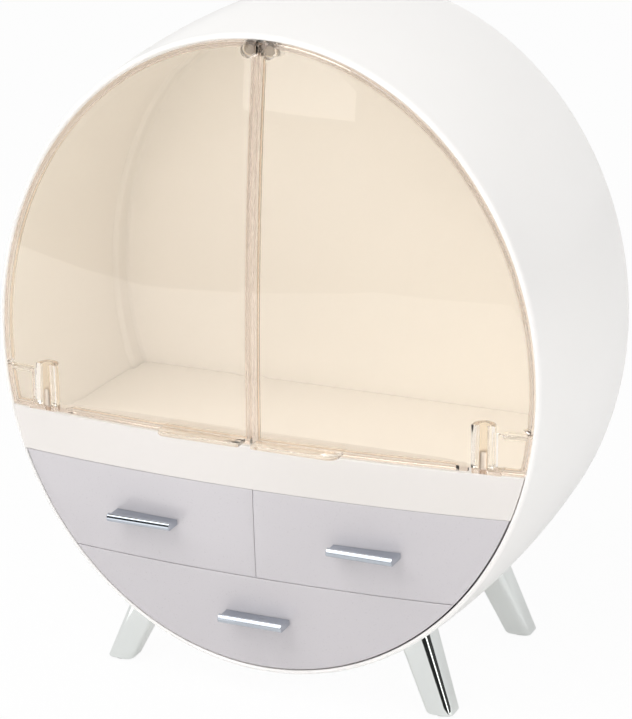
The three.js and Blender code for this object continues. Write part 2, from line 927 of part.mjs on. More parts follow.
// Handle: a flat plate out of the drawer's front, a round-faced bar along its front edge, two studs
function handle(across, level) {
  const surface = surfaceAt(across, level);
  const barMiddle = surface - handleReach + barDepth / 2;
  const left = across - handleWidth / 2;
  const right = across + handleWidth / 2;
  const plateTop = level + handlePlate / 2;
  const plate = sideSlab(box(barMiddle, overrun, level - handlePlate / 2, plateTop), left, right);
  const bar = sideSlab(
    arc(barMiddle, level + barLift, barDepth / 2, barHeight / 2, 0, 2 * Math.PI, barrelSteps).slice(1),
    left,
    right,
  );
  const studs = studPlaces(across, level).map((place) => {
    const studFront = surfaceAt(place.x, place.z) - 2 * seatGap;
    return rod(studRadius, place.clone().setY(studFront), place.clone().setY(studEnd));
  });
  const grip = unite(cutFrom(plate, behindFront(-seatGap)), bar);
  const holes = studPlaces(across, level).map((place) => (
    shankHole(handleScrew, place.setY(trayFront + trayWall), forward, handleScrew.length - overrun)
  ));
  return cutFrom(unite(grip, ...studs), ...holes);
}

function handleScrews(across, level) {
  const depth = trayFront + trayWall;
  return studPlaces(across, level).map((place) => screw(handleScrew, place.setY(depth), forward));
}

// Materials

function material(colour, roughness, metalness, opacity = 1) {
  return new THREE.MeshStandardMaterial({
    color: colour,
    roughness,
    metalness,
    opacity,
    transparent: opacity < 1,
  });
}

const whitePlastic = material('#f3f0ec', 0.32, 0);
const greyPlastic = material('#d0cdd0', 0.38, 0);
const trayPlastic = material('#dedce0', 0.5, 0);
const tintedPlastic = material('#e9d9bb', 0.08, 0, 0.45);
const chrome = material('#d9dcdf', 0.08, 1);
const steel = material('#b9bcbf', 0.28, 1);
const darkSteel = material('#5b5753', 0.35, 1);
const rubber = material('#8d8b88', 0.85, 0);

// Assembly

const assembly = new THREE.Group();

function mirroredSolid(shape) {
  const mesh = shape.getMesh();
  const vertices = Float32Array.from(mesh.vertProperties);
  for (let i = 0; i < vertices.length; i += 3) vertices[i] = -vertices[i];
  const triangles = Uint32Array.from(mesh.triVerts).reverse();
  return new wasm.Manifold(new wasm.Mesh({ numProp: 3, vertProperties: vertices, triVerts: triangles }));
}

function addPiece(name, shape, finish) {
  const mesh = shape.getMesh();
  const geometry = new THREE.BufferGeometry();
  geometry.setAttribute('position', new THREE.BufferAttribute(Float32Array.from(mesh.vertProperties), 3));
  geometry.setIndex(new THREE.BufferAttribute(Uint32Array.from(mesh.triVerts), 1));
  geometry.computeVertexNormals();
  const piece = new THREE.Mesh(geometry, finish);
  piece.name = name;
  assembly.add(piece);
}

function addPair(name, shape, finish) {
  addPiece(`${name}_right`, shape, finish);
  addPiece(`${name}_left`, mirroredSolid(shape), finish);
}

function addRow(name, shapes, finish) {
  shapes.forEach((shape, i) => addPiece(`${name}_${i + 1}`, shape, finish));
}

function addDrawer(name, parts) {
  addPiece(`${name}_front`, parts.panel, greyPlastic);
  addPiece(`${name}_tray`, parts.tray, trayPlastic);
  addPiece(`${name}_handle`, parts.handle, chrome);
  addRow(`${name}_screw`, parts.screws, steel);
}

addPiece('drum_shell', drumShell(), whitePlastic);
addPiece('back_panel', backPanel(), whitePlastic);
addPiece('compartment_deck', compartmentDeck(), whitePlastic);
addPiece('drawer_shelf', drawerShelf(), whitePlastic);
addPiece('drawer_divider', drawerDivider(), whitePlastic);
addPair('lower_rail', lowerRail(), whitePlastic);
addPair('hinge_corner', hingeCorner(), tintedPlastic);
addPair('hinge_pin', hingePin(), steel);
addPiece('catch_plate', catchPlate(), darkSteel);
addPiece('catch_screw', screw(catchScrew, catchScrewSeat, backward), steel);
addRow('back_screw', backScrewSeats().map((seat) => screw(backScrew, seat, forward)), steel);

for (const [place, fore] of [['front', 1], ['rear', -1]]) {
  addPair(`${place}_leg`, leg(fore), chrome);
  addPair(`${place}_leg_screw`, screw(legScrew, legScrewSeat(fore), legAxis(fore).negate()), steel);
  addPair(`${place}_foot_pad`, footPad(fore), rubber);
}

addPair('door', door(), tintedPlastic);
addPair('door_magnet', doorMagnet(), darkSteel);

const upperDrawer = {
  panel: drawerPanel(upperPanelOutline, handleAcross, upperHandleLevel),
  tray: tray(upperTrayOutline, upperTrayTop, handleAcross, upperHandleLevel),
  handle: handle(handleAcross, upperHandleLevel),
  screws: handleScrews(handleAcross, upperHandleLevel),
};
addDrawer('drawer_right', upperDrawer);
addDrawer('drawer_left', {
  panel: mirroredSolid(upperDrawer.panel),
  tray: mirroredSolid(upperDrawer.tray),
  handle: mirroredSolid(upperDrawer.handle),
  screws: upperDrawer.screws.map(mirroredSolid),
});
addDrawer('drawer_lower', {
  panel: drawerPanel(lowerPanelOutline, 0, lowerHandleLevel),
  tray: tray(lowerTrayOutline, lowerTrayTop, 0, lowerHandleLevel),
  handle: handle(0, lowerHandleLevel),
  screws: handleScrews(0, lowerHandleLevel),
});

// The finished part stands on the ground, with its origin under the middle of its box
const reach = new THREE.Box3().setFromObject(assembly);
const organizer = new THREE.Group();
assembly.position.set(0, -(reach.min.y + reach.max.y) / 2, -reach.min.z);
organizer.add(assembly);

export default organizer;
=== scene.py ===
import math

import bpy
import numpy as np
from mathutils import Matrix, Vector


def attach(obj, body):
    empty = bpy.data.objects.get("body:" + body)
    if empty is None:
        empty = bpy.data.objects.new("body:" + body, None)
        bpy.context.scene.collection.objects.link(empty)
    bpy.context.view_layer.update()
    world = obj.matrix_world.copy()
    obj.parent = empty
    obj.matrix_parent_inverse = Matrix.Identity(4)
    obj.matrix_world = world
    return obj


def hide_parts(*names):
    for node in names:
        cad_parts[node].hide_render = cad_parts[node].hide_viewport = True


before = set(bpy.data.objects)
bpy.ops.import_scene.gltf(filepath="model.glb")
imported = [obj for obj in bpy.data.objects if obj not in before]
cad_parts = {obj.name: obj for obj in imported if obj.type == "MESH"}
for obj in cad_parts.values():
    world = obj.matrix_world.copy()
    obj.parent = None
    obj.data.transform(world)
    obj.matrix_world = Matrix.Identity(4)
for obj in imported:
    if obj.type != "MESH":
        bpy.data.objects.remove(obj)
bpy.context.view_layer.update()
print("frame loaded with", len(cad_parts), "nodes")

# Shapes are worked out in millimetres about the middle of the oval opening, on the plane of
# the shell's rim: x to the right, y from front to back, z up.
oval = {
    "halfWidth": 150.0,
    "halfHeight": 171.0,
    "bulge": 12.0,  # how far the front's middle stands proud of its rim
    "middleDepth": 66.2,
    "middleHeight": 191.0,
}
tall = oval["halfHeight"] / oval["halfWidth"]


# Depth of the bulged front at a point: a shallow bowl, deepest forward at the oval's middle
def frontAt(x, z):
    return -oval["bulge"] * (1 - (x ** 2 + (z / tall) ** 2) / oval["halfWidth"] ** 2)


# Half width of an oval at a level: the across part of an ellipse
def ovalAcross(halfWidth, z):
    return np.sqrt(np.maximum(halfWidth ** 2 - (z / tall) ** 2, 0))


# Point runs: a straight line, an arc at given angles about a middle, with one radius or one
# across and one up, and an arc of the oval between two levels on the right
def lineRun(start, end, count):
    share = np.linspace(0, 1, count)[:, None]
    return np.array(start, float) * (1 - share) + np.array(end, float) * share


def arcRun(middle, radius, angle):
    return np.array(middle) + np.array(radius) * np.stack([np.cos(angle), np.sin(angle)], 1)


def ovalRun(halfWidth, low, high, count):
    angle = np.linspace(*np.arcsin(np.array([low, high]) / (halfWidth * tall)), count)
    return arcRun((0, 0), (halfWidth, halfWidth * tall), angle)


# Runs joined into one closed outline, each giving up its last point to the next
def closed(*runs):
    return np.concatenate([run[:-1] for run in runs])


# Flat points laid at a level, or stood up at a depth
def atLevel(flat, level):
    return np.column_stack([flat, np.full(len(flat), level)])


def atDepth(flat, depth):
    return np.column_stack([flat[:, 0], np.full(len(flat), depth), flat[:, 1]])


# Points moved along their rays from a middle onto a circle about it
def toCircle(points, middle, radius):
    out = points - middle
    return out / np.linalg.norm(out, axis=1)[:, None] * radius + middle


# A box outline with rounded corners: four quarter circles joined by straight sides
def roundedBox(left, right, low, high, radius, perCorner=7, perSide=5):
    quarter = np.linspace(0, math.pi / 2, perCorner)
    middles = [
        (right - radius, high - radius), (left + radius, high - radius),
        (left + radius, low + radius), (right - radius, low + radius),
    ]
    runs = [arcRun(middle, radius, quarter + i * math.pi / 2) for i, middle in enumerate(middles)]
    joined = []
    for i, run in enumerate(runs):
        joined += [run, lineRun(run[-1], runs[(i + 1) % 4][0], perSide)[1:-1]]
    return np.concatenate(joined)


# Rows of points skinned into faces: each quad joins neighbours on two rows; the columns close
# on themselves, and the rows too where asked. Points that fall together become one.
def skin(rows, closeRows=False):
    rows = np.asarray(rows, float)
    order = np.arange(rows[..., 0].size).reshape(rows.shape[:2])
    above = np.roll(order, -1, 0)
    quads = np.stack([order, np.roll(order, -1, 1), np.roll(above, -1, 1), above], -1)
    quads = quads[:None if closeRows else -1].reshape(-1, 4)
    points, index = np.unique(np.round(rows.reshape(-1, 3), 4), axis=0, return_inverse=True)
    quads = index.reshape(-1)[quads]
    same = quads == np.roll(quads, -1, axis=1)
    full = quads[~same.any(1)]
    slim = same.sum(1) == 1
    triangles = quads[slim][~same[slim]].reshape(-1, 3)
    faces = [face for face in full.tolist() + triangles.tolist() if len(set(face)) == len(face)]
    return points, faces


# The same shape with its faces turned outwards, judged by the sign of its volume
def outward(part):
    points, faces = part
    fans = np.array([(f[0], f[k], f[k + 1]) for f in faces for k in range(1, len(f) - 1)])
    a, b, c = points[fans[:, 0]], points[fans[:, 1]], points[fans[:, 2]]
    if np.einsum("ij,ij->i", a, np.cross(b, c)).sum() < 0:
        faces = [face[::-1] for face in faces]
    return points, faces


def mirrored(parts):
    return [(points * [-1, 1, 1], faces) for points, faces in parts]


# Parts are drawn for the right side, and turned over for the left
def sided(parts, side):
    return mirrored(parts) if side == "left" else parts


# One mesh object in metres, about the frame's own origin, from one or more closed shapes
def meshObject(name, parts):
    points, faces, start = [], [], 0
    for part in parts:
        partPoints, partFaces = outward(part)
        points.append(partPoints)
        faces += [[start + k for k in face] for face in partFaces]
        start += len(partPoints)
    placed = (np.concatenate(points) + [0, -oval["middleDepth"], oval["middleHeight"]]) / 1000
    mesh = bpy.data.meshes.new(name)
    mesh.from_pydata(placed.tolist(), [], faces)
    mesh.update()
    made = bpy.data.objects.new(name, mesh)
    bpy.context.scene.collection.objects.link(made)
    return made


crease = math.radians(32)  # a fold sharper than this keeps a hard edge


# A piece's mesh joined with other shapes, or with them taken away, as one closed skin
def carve(piece, operation, parts):
    tool = meshObject("tool", parts)
    step = piece.modifiers.new("step", "BOOLEAN")
    step.operation, step.solver, step.object = operation, "EXACT", tool
    bpy.context.view_layer.update()
    done = piece.evaluated_get(bpy.context.evaluated_depsgraph_get())
    result = bpy.data.meshes.new_from_object(done)
    result.shade_smooth()
    result.set_sharp_from_angle(angle=crease)
    piece.modifiers.clear()
    piece.data = result
    bpy.data.objects.remove(tool)


# One named piece from one or more closed shapes, riding on a body and standing for a CAD node
def addPiece(name, parts, look, body, replaced, bevel=0):
    piece = meshObject(name, parts)
    mesh = piece.data
    mesh.shade_smooth()
    mesh.set_sharp_from_angle(angle=crease)
    mesh.materials.append(look)
    if bevel:
        edges = piece.modifiers.new("edges", "BEVEL")
        edges.width = bevel / 1000
        edges.segments = 3
        edges.limit_method = "ANGLE"
        edges.angle_limit = crease
        edges.harden_normals = True
    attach(piece, body)
    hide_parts(replaced)
    return piece


# A profile of (half width, depth) turned about the depth axis and drawn out to the oval
def ovalTurned(profile, steps=288, closeProfile=False):
    profile = np.array(profile, float)
    angle = np.linspace(0, 2 * math.pi, steps, endpoint=False)
    across, depth = profile[:, :1], profile[:, 1:]
    x, z = across * np.cos(angle), across * np.sin(angle) * tall
    return skin(np.stack([x, np.broadcast_to(depth, x.shape), z], -1), closeRows=closeProfile)


# A profile of (radius, distance) turned about a line; ripple may move each point along it
def turnedRows(profile, start, direction, steps=40, ripple=None):
    profile = np.array(profile, float)
    angle = np.linspace(0, 2 * math.pi, steps, endpoint=False)
    radius = np.repeat(profile[:, :1], steps, 1)
    along = np.repeat(profile[:, 1:], steps, 1)
    if ripple:
        along = along + ripple(radius, angle)
    axis = np.array(direction, float) / np.linalg.norm(direction)
    side = np.cross(axis, [0, 0, 1] if abs(axis[2]) < 0.9 else [1, 0, 0])
    side /= np.linalg.norm(side)
    ring = np.cos(angle)[:, None] * side + np.sin(angle)[:, None] * np.cross(axis, side)
    return np.array(start, float) + radius[..., None] * ring + along[..., None] * axis


def turned(profile, start, direction, steps=40, ripple=None):
    return skin(turnedRows(profile, start, direction, steps, ripple))


# The profile of a plain rod
def rod(radius, length):
    return [(0, 0), (radius, 0), (radius, length), (0, length)]


# A quarter turn in pairs: the shares of its radius left over beside the cosine and the sine
def quarterTurn(count=5):
    angle = np.linspace(0, math.pi / 2, count)
    return list(zip(1 - np.cos(angle), 1 - np.sin(angle)))


# A moulded front: the bulged skin fans out from a middle point, rounds over the edge, runs
# back along the flange, turns in over the wall's thickness and returns behind the skin. Where
# turnedBack is 0 the edge has no flange and ends at the wall's thickness.
def mouldedFront(outline, middle, size, turnedBack=1):
    wall, depth, edge, fillet = size["wall"], size["depth"], size["edge"], size["fillet"]
    back = edge * 0.6
    turn = quarterTurn()
    shares = np.linspace(0, 1, 14)
    plan = [(edge, share, 0) for share in shares]
    plan += [(edge * s, 1, edge * c) for c, s in turn[1:]]
    plan += [(back * c, 1, depth - back * s) for c, s in turn]
    plan += [(wall - back * s, 1, depth - back * c) for c, s in turn]
    plan += [(wall + fillet * c, 1, wall + fillet * s) for c, s in turn]
    plan += [(wall + fillet, share, wall) for share in shares[::-1][1:]]
    furthest = wall + (depth - wall) * np.asarray(turnedBack)
    rows = []
    for inset, share, offset in plan:
        flat = np.array(middle) + share * (outline(inset) - middle)
        rows.append(atDepth(flat, frontAt(*flat.T) + np.minimum(offset, furthest)))
    return skin(rows)


# A plain box, its floor and roof fanned out from their middles
def boxPart(low, high):
    (x0, y0, z0), (x1, y1, z1) = low, high
    ring = np.array([(x0, y0), (x1, y0), (x1, y1), (x0, y1)])
    middle = np.tile(ring.mean(0), (4, 1))
    return skin([atLevel(middle, z0), atLevel(ring, z0), atLevel(ring, z1), atLevel(middle, z1)])


# Looks

# A colour given as it shows on a screen, 0 to 255, in the light's own linear scale
def shown(red, green, blue):
    share = np.array([red, green, blue]) / 255
    return (*np.where(share <= 0.04045, share / 12.92, ((share + 0.055) / 1.055) ** 2.4).tolist(), 1)


# A node added to a tree, its inputs given as sockets or plain values
def addNode(tree, kind, inputs=(), **settings):
    made = tree.nodes.new(kind)
    for key, value in settings.items():
        setattr(made, key, value)
    for key, value in dict(inputs).items():
        if isinstance(value, bpy.types.NodeSocket):
            tree.links.new(value, made.inputs[key])
        else:
            made.inputs[key].default_value = value
    return made


# A surface that turns into another by its share for each kind of ray
def seenBy(tree, surface, other, rays):
    path = addNode(tree, "ShaderNodeLightPath")
    for ray, share in rays.items():
        factor = path.outputs[ray]
        if share < 1:
            factor = addNode(tree, "ShaderNodeMath", {0: factor, 1: share}, operation="MULTIPLY").outputs[0]
        surface = addNode(tree, "ShaderNodeMixShader", {0: factor, 1: surface, 2: other}).outputs[0]
    return surface


class Look:
    def __init__(self, name):
        self.look = bpy.data.materials.new(name)
        self.look.use_nodes = True
        self.tree = self.look.node_tree
        self.shader = self.tree.nodes["Principled BSDF"]
        self.place = self.node("ShaderNodeTexCoord").outputs["Object"]

    def node(self, kind, inputs=(), **settings):
        return addNode(self.tree, kind, inputs, **settings)

    def maths(self, operation, *values):
        return self.node("ShaderNodeMath", enumerate(values), operation=operation).outputs[0]

    def noise(self, scale, detail=3, stretch=None):
        place = self.place
        if stretch:
            place = self.node("ShaderNodeMapping", {"Vector": place, "Scale": stretch}).outputs[0]
        inputs = {"Vector": place, "Scale": scale, "Detail": detail}
        return self.node("ShaderNodeTexNoise", inputs).outputs[0]

    # Noise lies mostly between 0.3 and 0.7, and that range is carried to low and high
    def spread(self, value, low, high):
        inputs = {"Value": value, "From Min": 0.3, "From Max": 0.7, "To Min": low, "To Max": high}
        return self.node("ShaderNodeMapRange", inputs).outputs[0]

    def between(self, share, first, second):
        inputs = {"Factor": share, "A": first, "B": second}
        return self.node("ShaderNodeMix", inputs, data_type="RGBA").outputs["Result"]

    # The piece's two near colours, mixed by a pattern
    def mixed(self, pattern, size):
        return self.between(self.spread(pattern, 0, 1), size["colour"], size["second"])

    def bumps(self, height, distance):
        return self.node("ShaderNodeBump", {"Height": height, "Distance": distance}).outputs[0]

    def join(self, key, value):
        self.tree.links.new(value, self.shader.inputs[key])

    def put(self, **values):
        for key, value in values.items():
            self.shader.inputs[key.replace("_", " ")].default_value = value

    # An even white glow
    def glow(self, strength):
        return self.node("ShaderNodeEmission", {"Color": (1, 1, 1, 1), "Strength": strength}).outputs[0]

    def show(self, surface):
        self.tree.links.new(surface, self.tree.nodes["Material Output"].inputs["Surface"])


# Moulded plastic: two near colours in soft clouds, gloss that varies a little, and the faint
# waviness of a moulded skin under a finer grain. The colour may turn from front to back to
# another one: a front face then carries a painted shade and the inside the piece's own colour.
def plastic(name, size):
    look = Look(name)
    colour = look.mixed(look.noise(size["cloudScale"], 2), size)
    # Painted shade: the front keeps the darker colour, and past the turn the inside shows the piece's own
    # colour
    if "inside" in size:
        depth = look.node("ShaderNodeSeparateXYZ", {0: look.place}).outputs["Y"]
        start, end = size["turn"]
        share = look.node("ShaderNodeMapRange", {"Value": depth, "From Min": start, "From Max": end})
        colour = look.between(share.outputs[0], colour, size["inside"])
    look.join("Base Color", colour)
    grain = look.noise(size["grainScale"], 4)
    look.join("Roughness", look.spread(grain, *size["roughness"]))
    wave = look.bumps(look.noise(size["waveScale"], 1), size["waveHeight"])
    fine = look.node("ShaderNodeBump", {"Height": grain, "Distance": size["grainHeight"], "Normal": wave})
    look.join("Normal", fine.outputs[0])
    look.put(IOR=1.5, Coat_Weight=size["coat"], Coat_Roughness=size["coatRoughness"])
    return look.look


shellPlastic = plastic("shellPlastic", {
    "colour": shown(252, 250, 248), "second": shown(250, 248, 245), "cloudScale": 6,
    "grainScale": 900, "grainHeight": 0.000001, "roughness": (0.32, 0.36),
    "waveScale": 22, "waveHeight": 0.00004, "coat": 0.3, "coatRoughness": 0.14,
})
# The deck is one white moulding: its fascia face is painted darker as shade, and its inside keeps the white
fasciaPlastic = plastic("fasciaPlastic", {
    "colour": shown(228, 223, 219), "second": shown(226, 221, 216), "cloudScale": 8,
    "grainScale": 900, "grainHeight": 0.000001, "roughness": (0.3, 0.34),
    "waveScale": 26, "waveHeight": 0.00003, "coat": 0.35, "coatRoughness": 0.1,
    "inside": shown(252, 250, 248), "turn": (-0.058, -0.05),
})
drawerPlastic = plastic("drawerPlastic", {
    "colour": shown(203, 199, 202), "second": shown(200, 196, 199), "cloudScale": 9,
    "grainScale": 1100, "grainHeight": 0.0000005, "roughness": (0.27, 0.3),
    "waveScale": 24, "waveHeight": 0.00002, "coat": 0.4, "coatRoughness": 0.08,
})
trayPlastic = plastic("trayPlastic", {
    "colour": shown(226, 224, 227), "second": shown(221, 219, 222), "cloudScale": 12,
    "grainScale": 1600, "grainHeight": 0.00001, "roughness": (0.42, 0.55),
    "waveScale": 30, "waveHeight": 0.00003, "coat": 0, "coatRoughness": 0.3,
})


# Plated or turned metal: streaks of finer and coarser polish along one axis, over a faint ripple
def metal(name, size):
    look = Look(name)
    streaks = look.noise(size["streakScale"], 3, size["streakStretch"])
    look.join("Base Color", look.mixed(streaks, size))
    look.join("Roughness", look.spread(streaks, *size["roughness"]))
    ripple = look.noise(size["rippleScale"], 2)
    look.join("Normal", look.bumps(ripple, size["rippleHeight"]))
    look.put(Metallic=1)
    return look.look


chromePlate = metal("chromePlate", {
    "colour": shown(233, 236, 234), "second": shown(227, 230, 228), "streakScale": 60,
    "streakStretch": (1, 1, 0.2), "roughness": (0.05, 0.1), "rippleScale": 160, "rippleHeight": 0.00002,
})
chromePull = metal("chromePull", {
    "colour": shown(192, 198, 206), "second": shown(186, 192, 201), "streakScale": 90,
    "streakStretch": (0.2, 1, 1), "roughness": (0.06, 0.12), "rippleScale": 200, "rippleHeight": 0.00001,
})
turnedSteel = metal("turnedSteel", {
    "colour": shown(206, 208, 210), "second": shown(188, 190, 193), "streakScale": 900,
    "streakStretch": (0.2, 0.2, 1), "roughness": (0.2, 0.32), "rippleScale": 700, "rippleHeight": 0.000006,
})
pinSteel = metal("pinSteel", {
    "colour": shown(226, 217, 210), "second": shown(219, 210, 203), "streakScale": 300,
    "streakStretch": (1, 1, 0.1), "roughness": (0.3, 0.38), "rippleScale": 300, "rippleHeight": 0.000004,
})
nickel = metal("nickel", {
    "colour": shown(176, 170, 165), "second": shown(162, 156, 152), "streakScale": 500,
    "streakStretch": (0.1, 1, 1), "roughness": (0.28, 0.4), "rippleScale": 600, "rippleHeight": 0.000006,
})


# Rubber: a matte grain in two greys
def rubber(name, size):
    look = Look(name)
    grain = look.noise(size["grainScale"], 5)
    look.join("Base Color", look.mixed(grain, size))
    look.join("Roughness", look.spread(grain, *size["roughness"]))
    look.join("Normal", look.bumps(grain, size["grainHeight"]))
    return look.look


footRubber = rubber("footRubber", {
    "colour": shown(190, 189, 187), "second": shown(172, 171, 169), "grainScale": 1400,
    "roughness": (0.75, 0.9), "grainHeight": 0.00003,
})


# Clear moulded plastic with a champagne tint, and a deeper, pinker tint painted along its edges
# as painted shade for the thick flanges seen edge-on: beside the joint of the doors, below their
# bottom line and round the oval. The camera sees it as bending glass, and lamp light on its way
# into the compartment passes straight through.
def tintedClear(name, size):
    look = Look(name)
    tint = look.mixed(look.noise(size["cloudScale"], 2), size)
    place = look.node("ShaderNodeSeparateXYZ", {0: look.place}).outputs
    across, up = size["reach"]
    middle = (0, 0, -oval["middleHeight"] / 1000)
    level = look.node("ShaderNodeVectorMath", {0: look.place, 1: middle}, operation="ADD").outputs[0]
    flatten = {0: level, 1: (1 / across, 0, 1 / up)}
    flat = look.node("ShaderNodeVectorMath", flatten, operation="MULTIPLY").outputs[0]
    reach = look.node("ShaderNodeVectorMath", {0: flat}, operation="LENGTH").outputs["Value"]
    # Painted shade: the flanges' mask, near the joint, below the bottom line and past the oval's reach
    joint = look.maths("COMPARE", place["X"], 0.0, size["joint"])
    low = look.maths("LESS_THAN", place["Z"], size["low"])
    edge = look.maths("MAXIMUM", look.maths("MAXIMUM", joint, low), look.maths("GREATER_THAN", reach, 1.0))
    look.join("Base Color", look.between(edge, tint, size["edge"]))
    grain = look.noise(size["grainScale"], 2)
    look.join("Roughness", look.spread(grain, *size["roughness"]))
    look.join("Normal", look.bumps(look.noise(size["waveScale"], 1), size["waveHeight"]))
    look.put(IOR=size["bend"], Transmission_Weight=1)
    passing = look.node("ShaderNodeBsdfTransparent", {"Color": size["lampTint"]}).outputs[0]
    rays = {"Is Shadow Ray": 1, "Is Diffuse Ray": 1}
    look.show(seenBy(look.tree, look.shader.outputs[0], passing, rays))
    return look.look


clearPlastic = tintedClear("clearPlastic", {
    "colour": shown(250, 242, 230), "second": shown(249, 241, 228), "cloudScale": 5,
    "grainScale": 300, "roughness": (0.0, 0.02), "waveScale": 30, "waveHeight": 0.00002, "bend": 1.45,
    "lampTint": (0.998, 0.993, 0.982, 1),
    # painted shade: the deeper, pinker tint of the flanges seen edge-on
    "edge": shown(237, 224, 212), "joint": 0.0032, "low": 0.1533, "reach": (0.1468, 0.1673),
})
print("looks made")

# Shell

shell = {
    "depth": 153.0, "rimWall": 2.6, "rimRoll": 4.0, "lipEase": 0.6, "wall": 3.2,
    "swell": 2.73, "spread": 2.7, "rearRoll": 13.5, "backWall": 3.5, "spigotWall": 1.6,
    "spigotLength": 4.0, "fillet": 2.5, "gap": 0.3, "seamEase": 0.4, "spigotGap": -0.3,
    "spigotTip": 0.2, "softEdge": 0.3,
}
rimOuter = oval["halfWidth"] + shell["rimWall"]
seamDepth = shell["depth"] - shell["rearRoll"]
backInner = shell["depth"] - shell["backWall"]


# Half width of the outside at a depth: a straight spread to the rear plus a parabola of swell
def outerAt(depth):
    share = (depth - shell["rimRoll"]) / (seamDepth - shell["rimRoll"])
    return rimOuter + shell["spread"] * share + 4 * shell["swell"] * share * (1 - share)


def innerAt(depth):
    return np.maximum(oval["halfWidth"], outerAt(depth) - shell["wall"])


spigotOuter = outerAt(seamDepth) - shell["wall"] - shell["spigotGap"]
spigotInner = outerAt(seamDepth) - shell["wall"] - shell["gap"] - shell["spigotWall"]
spigotFront = seamDepth - shell["spigotLength"]


# Half width of the room inside the shell and back panel at a depth, less the gap
def roomAt(depth):
    gap, fillet = shell["gap"], shell["fillet"]
    turn = np.clip(depth - (backInner - fillet), 0, fillet - gap)
    rear = spigotInner - fillet + np.sqrt((fillet - gap) ** 2 - turn ** 2)
    return np.where(depth > spigotFront - gap, rear, innerAt(depth) - gap)


def shellProfile():
    angle = np.linspace(-math.pi / 2, 0, 12)
    ease, roll = shell["lipEase"], shell["rimRoll"]
    rim = arcRun((oval["halfWidth"] + ease, roll), (shell["rimWall"] - ease, roll), angle)
    depth = np.linspace(roll, seamDepth - shell["seamEase"], 30)[1:]
    outside = np.stack([outerAt(depth), depth], 1)
    seamOuter = outerAt(seamDepth)
    seam = [(seamOuter - shell["seamEase"], seamDepth), (innerAt(seamDepth), seamDepth)]
    depth = np.linspace(seamDepth, roll, 30)[1:]
    inside = np.stack([innerAt(depth), depth], 1)
    return np.concatenate([[(oval["halfWidth"], ease)], rim, outside, seam, inside])


catch = {
    "width": 18.0, "height": 7.0, "top": 168.5, "thickness": 2.4, "seat": 6.0, "seatTop": 172.6,
    "level": 165.0, "ease": 0.3, "corner": 1.75, "behind": 7.3,
}
catch["front"] = frontAt(0, catch["top"]) + catch["behind"]
seatFront = catch["front"] + catch["thickness"] + shell["gap"]
catchSeat = boxPart(
    (-catch["width"] / 2, seatFront, catch["top"] - catch["height"]),
    (catch["width"] / 2, seatFront + catch["seat"], catch["seatTop"]),
)
addPiece("outer_drum", [ovalTurned(shellProfile(), closeProfile=True), catchSeat],
         shellPlastic, "case", "drum_shell")

# Back panel

backScrew = {"shank": 1.5, "head": 2.9, "height": 1.6, "length": 11.0, "sunk": 0.6, "recess": 8.0}
backScrewPlaces = [(85.0, -68.9), (-85.0, -68.9), (55.0, -123.3), (-55.0, -123.3)]
backScrewDepth = shell["depth"] - backScrew["height"] - backScrew["sunk"]
flatRings = [0, 60, 110]  # half widths of the rings on the back's flat


# The spigot thins to a tip that runs into the shell's inner wall, in half a cosine wave
def backProfile():
    start, reach = seamDepth + shell["gap"], shell["rearRoll"]
    roll = arcRun((outerAt(seamDepth) - reach, start), (reach, shell["depth"] - start),
                  np.linspace(math.pi / 2, 0, 14))
    seam = (outerAt(seamDepth) - shell["seamEase"], start)
    spigot = [seam, (spigotOuter, start), (spigotOuter, spigotFront)]
    share = np.linspace(0, 1, 12)
    tip = spigotOuter - shell["spigotTip"]
    fall = (tip - spigotInner) * (1 - np.cos(math.pi * share)) / 2
    taper = np.stack([tip - fall, spigotFront + shell["spigotLength"] * share], 1)
    fillet = shell["fillet"]
    corner = arcRun((spigotInner - fillet, backInner - fillet), fillet, np.linspace(0, math.pi / 2, 10))
    middle = [(across, shell["depth"]) for across in flatRings]
    inner = [(across, backInner) for across in flatRings[::-1]]
    return np.concatenate([middle, roll[:-1], spigot, taper, corner, inner])


backPiece = addPiece("rear_cover", [ovalTurned(backProfile())], shellPlastic,
                     "case", "back_panel")
recess = rod(backScrew["head"] + shell["gap"], backScrew["recess"])
carve(backPiece, "DIFFERENCE", [
    turned(recess, (x, backScrewDepth, z), (0, 1, 0)) for x, z in backScrewPlaces
])
print("shell and back made")

# Deck, shelf, divider and rails

deck = {
    "wall": 2.4, "ledgeBack": 13.0, "top": -41.0, "bottom": -65.1, "edge": 0.8, "round": 1.6,
}
roomBack = backInner - shell["gap"]


# Depths from a front to the back of the room, with a point close to each side of the spigot's tip
def toBack(front, count):
    return [*np.linspace(front, spigotFront - 1.5, count), *np.linspace(spigotFront + 0.1, roomBack, 9)]


# A bent sheet across the oval: an outer and an inner path of (front share, y, z), where the
# front share says how far the point follows the bulge. Every point runs from one side of the
# room to the other, and the ends are closed between the two paths.
def acrossOval(outer, inner, columns=84):
    loop = np.array(outer + inner[::-1], float)
    follow, depth, level = loop.T
    reach = np.sqrt(np.maximum(roomAt(np.maximum(depth, 1.0)) ** 2 - (level / tall) ** 2, 0))
    share = np.linspace(-1, 1, columns)[:, None]
    x = share * reach
    y = depth + follow * frontAt(x, level)
    rows = np.stack([x, y, np.broadcast_to(level, x.shape)], -1)
    halves = len(outer)
    middle = [(row[:halves] + row[halves:][::-1]) / 2 for row in (rows[0], rows[-1])]
    caps = [np.concatenate([part, part[::-1]]) for part in middle]
    return skin(np.concatenate([[caps[0]], rows, [caps[1]]]))


def bend(middle, radius, start, end, count=5, follow=0):
    angle = np.radians(np.linspace(start, end, count))
    return [(follow, middle[0] + radius * math.cos(a), middle[1] + radius * math.sin(a)) for a in angle]


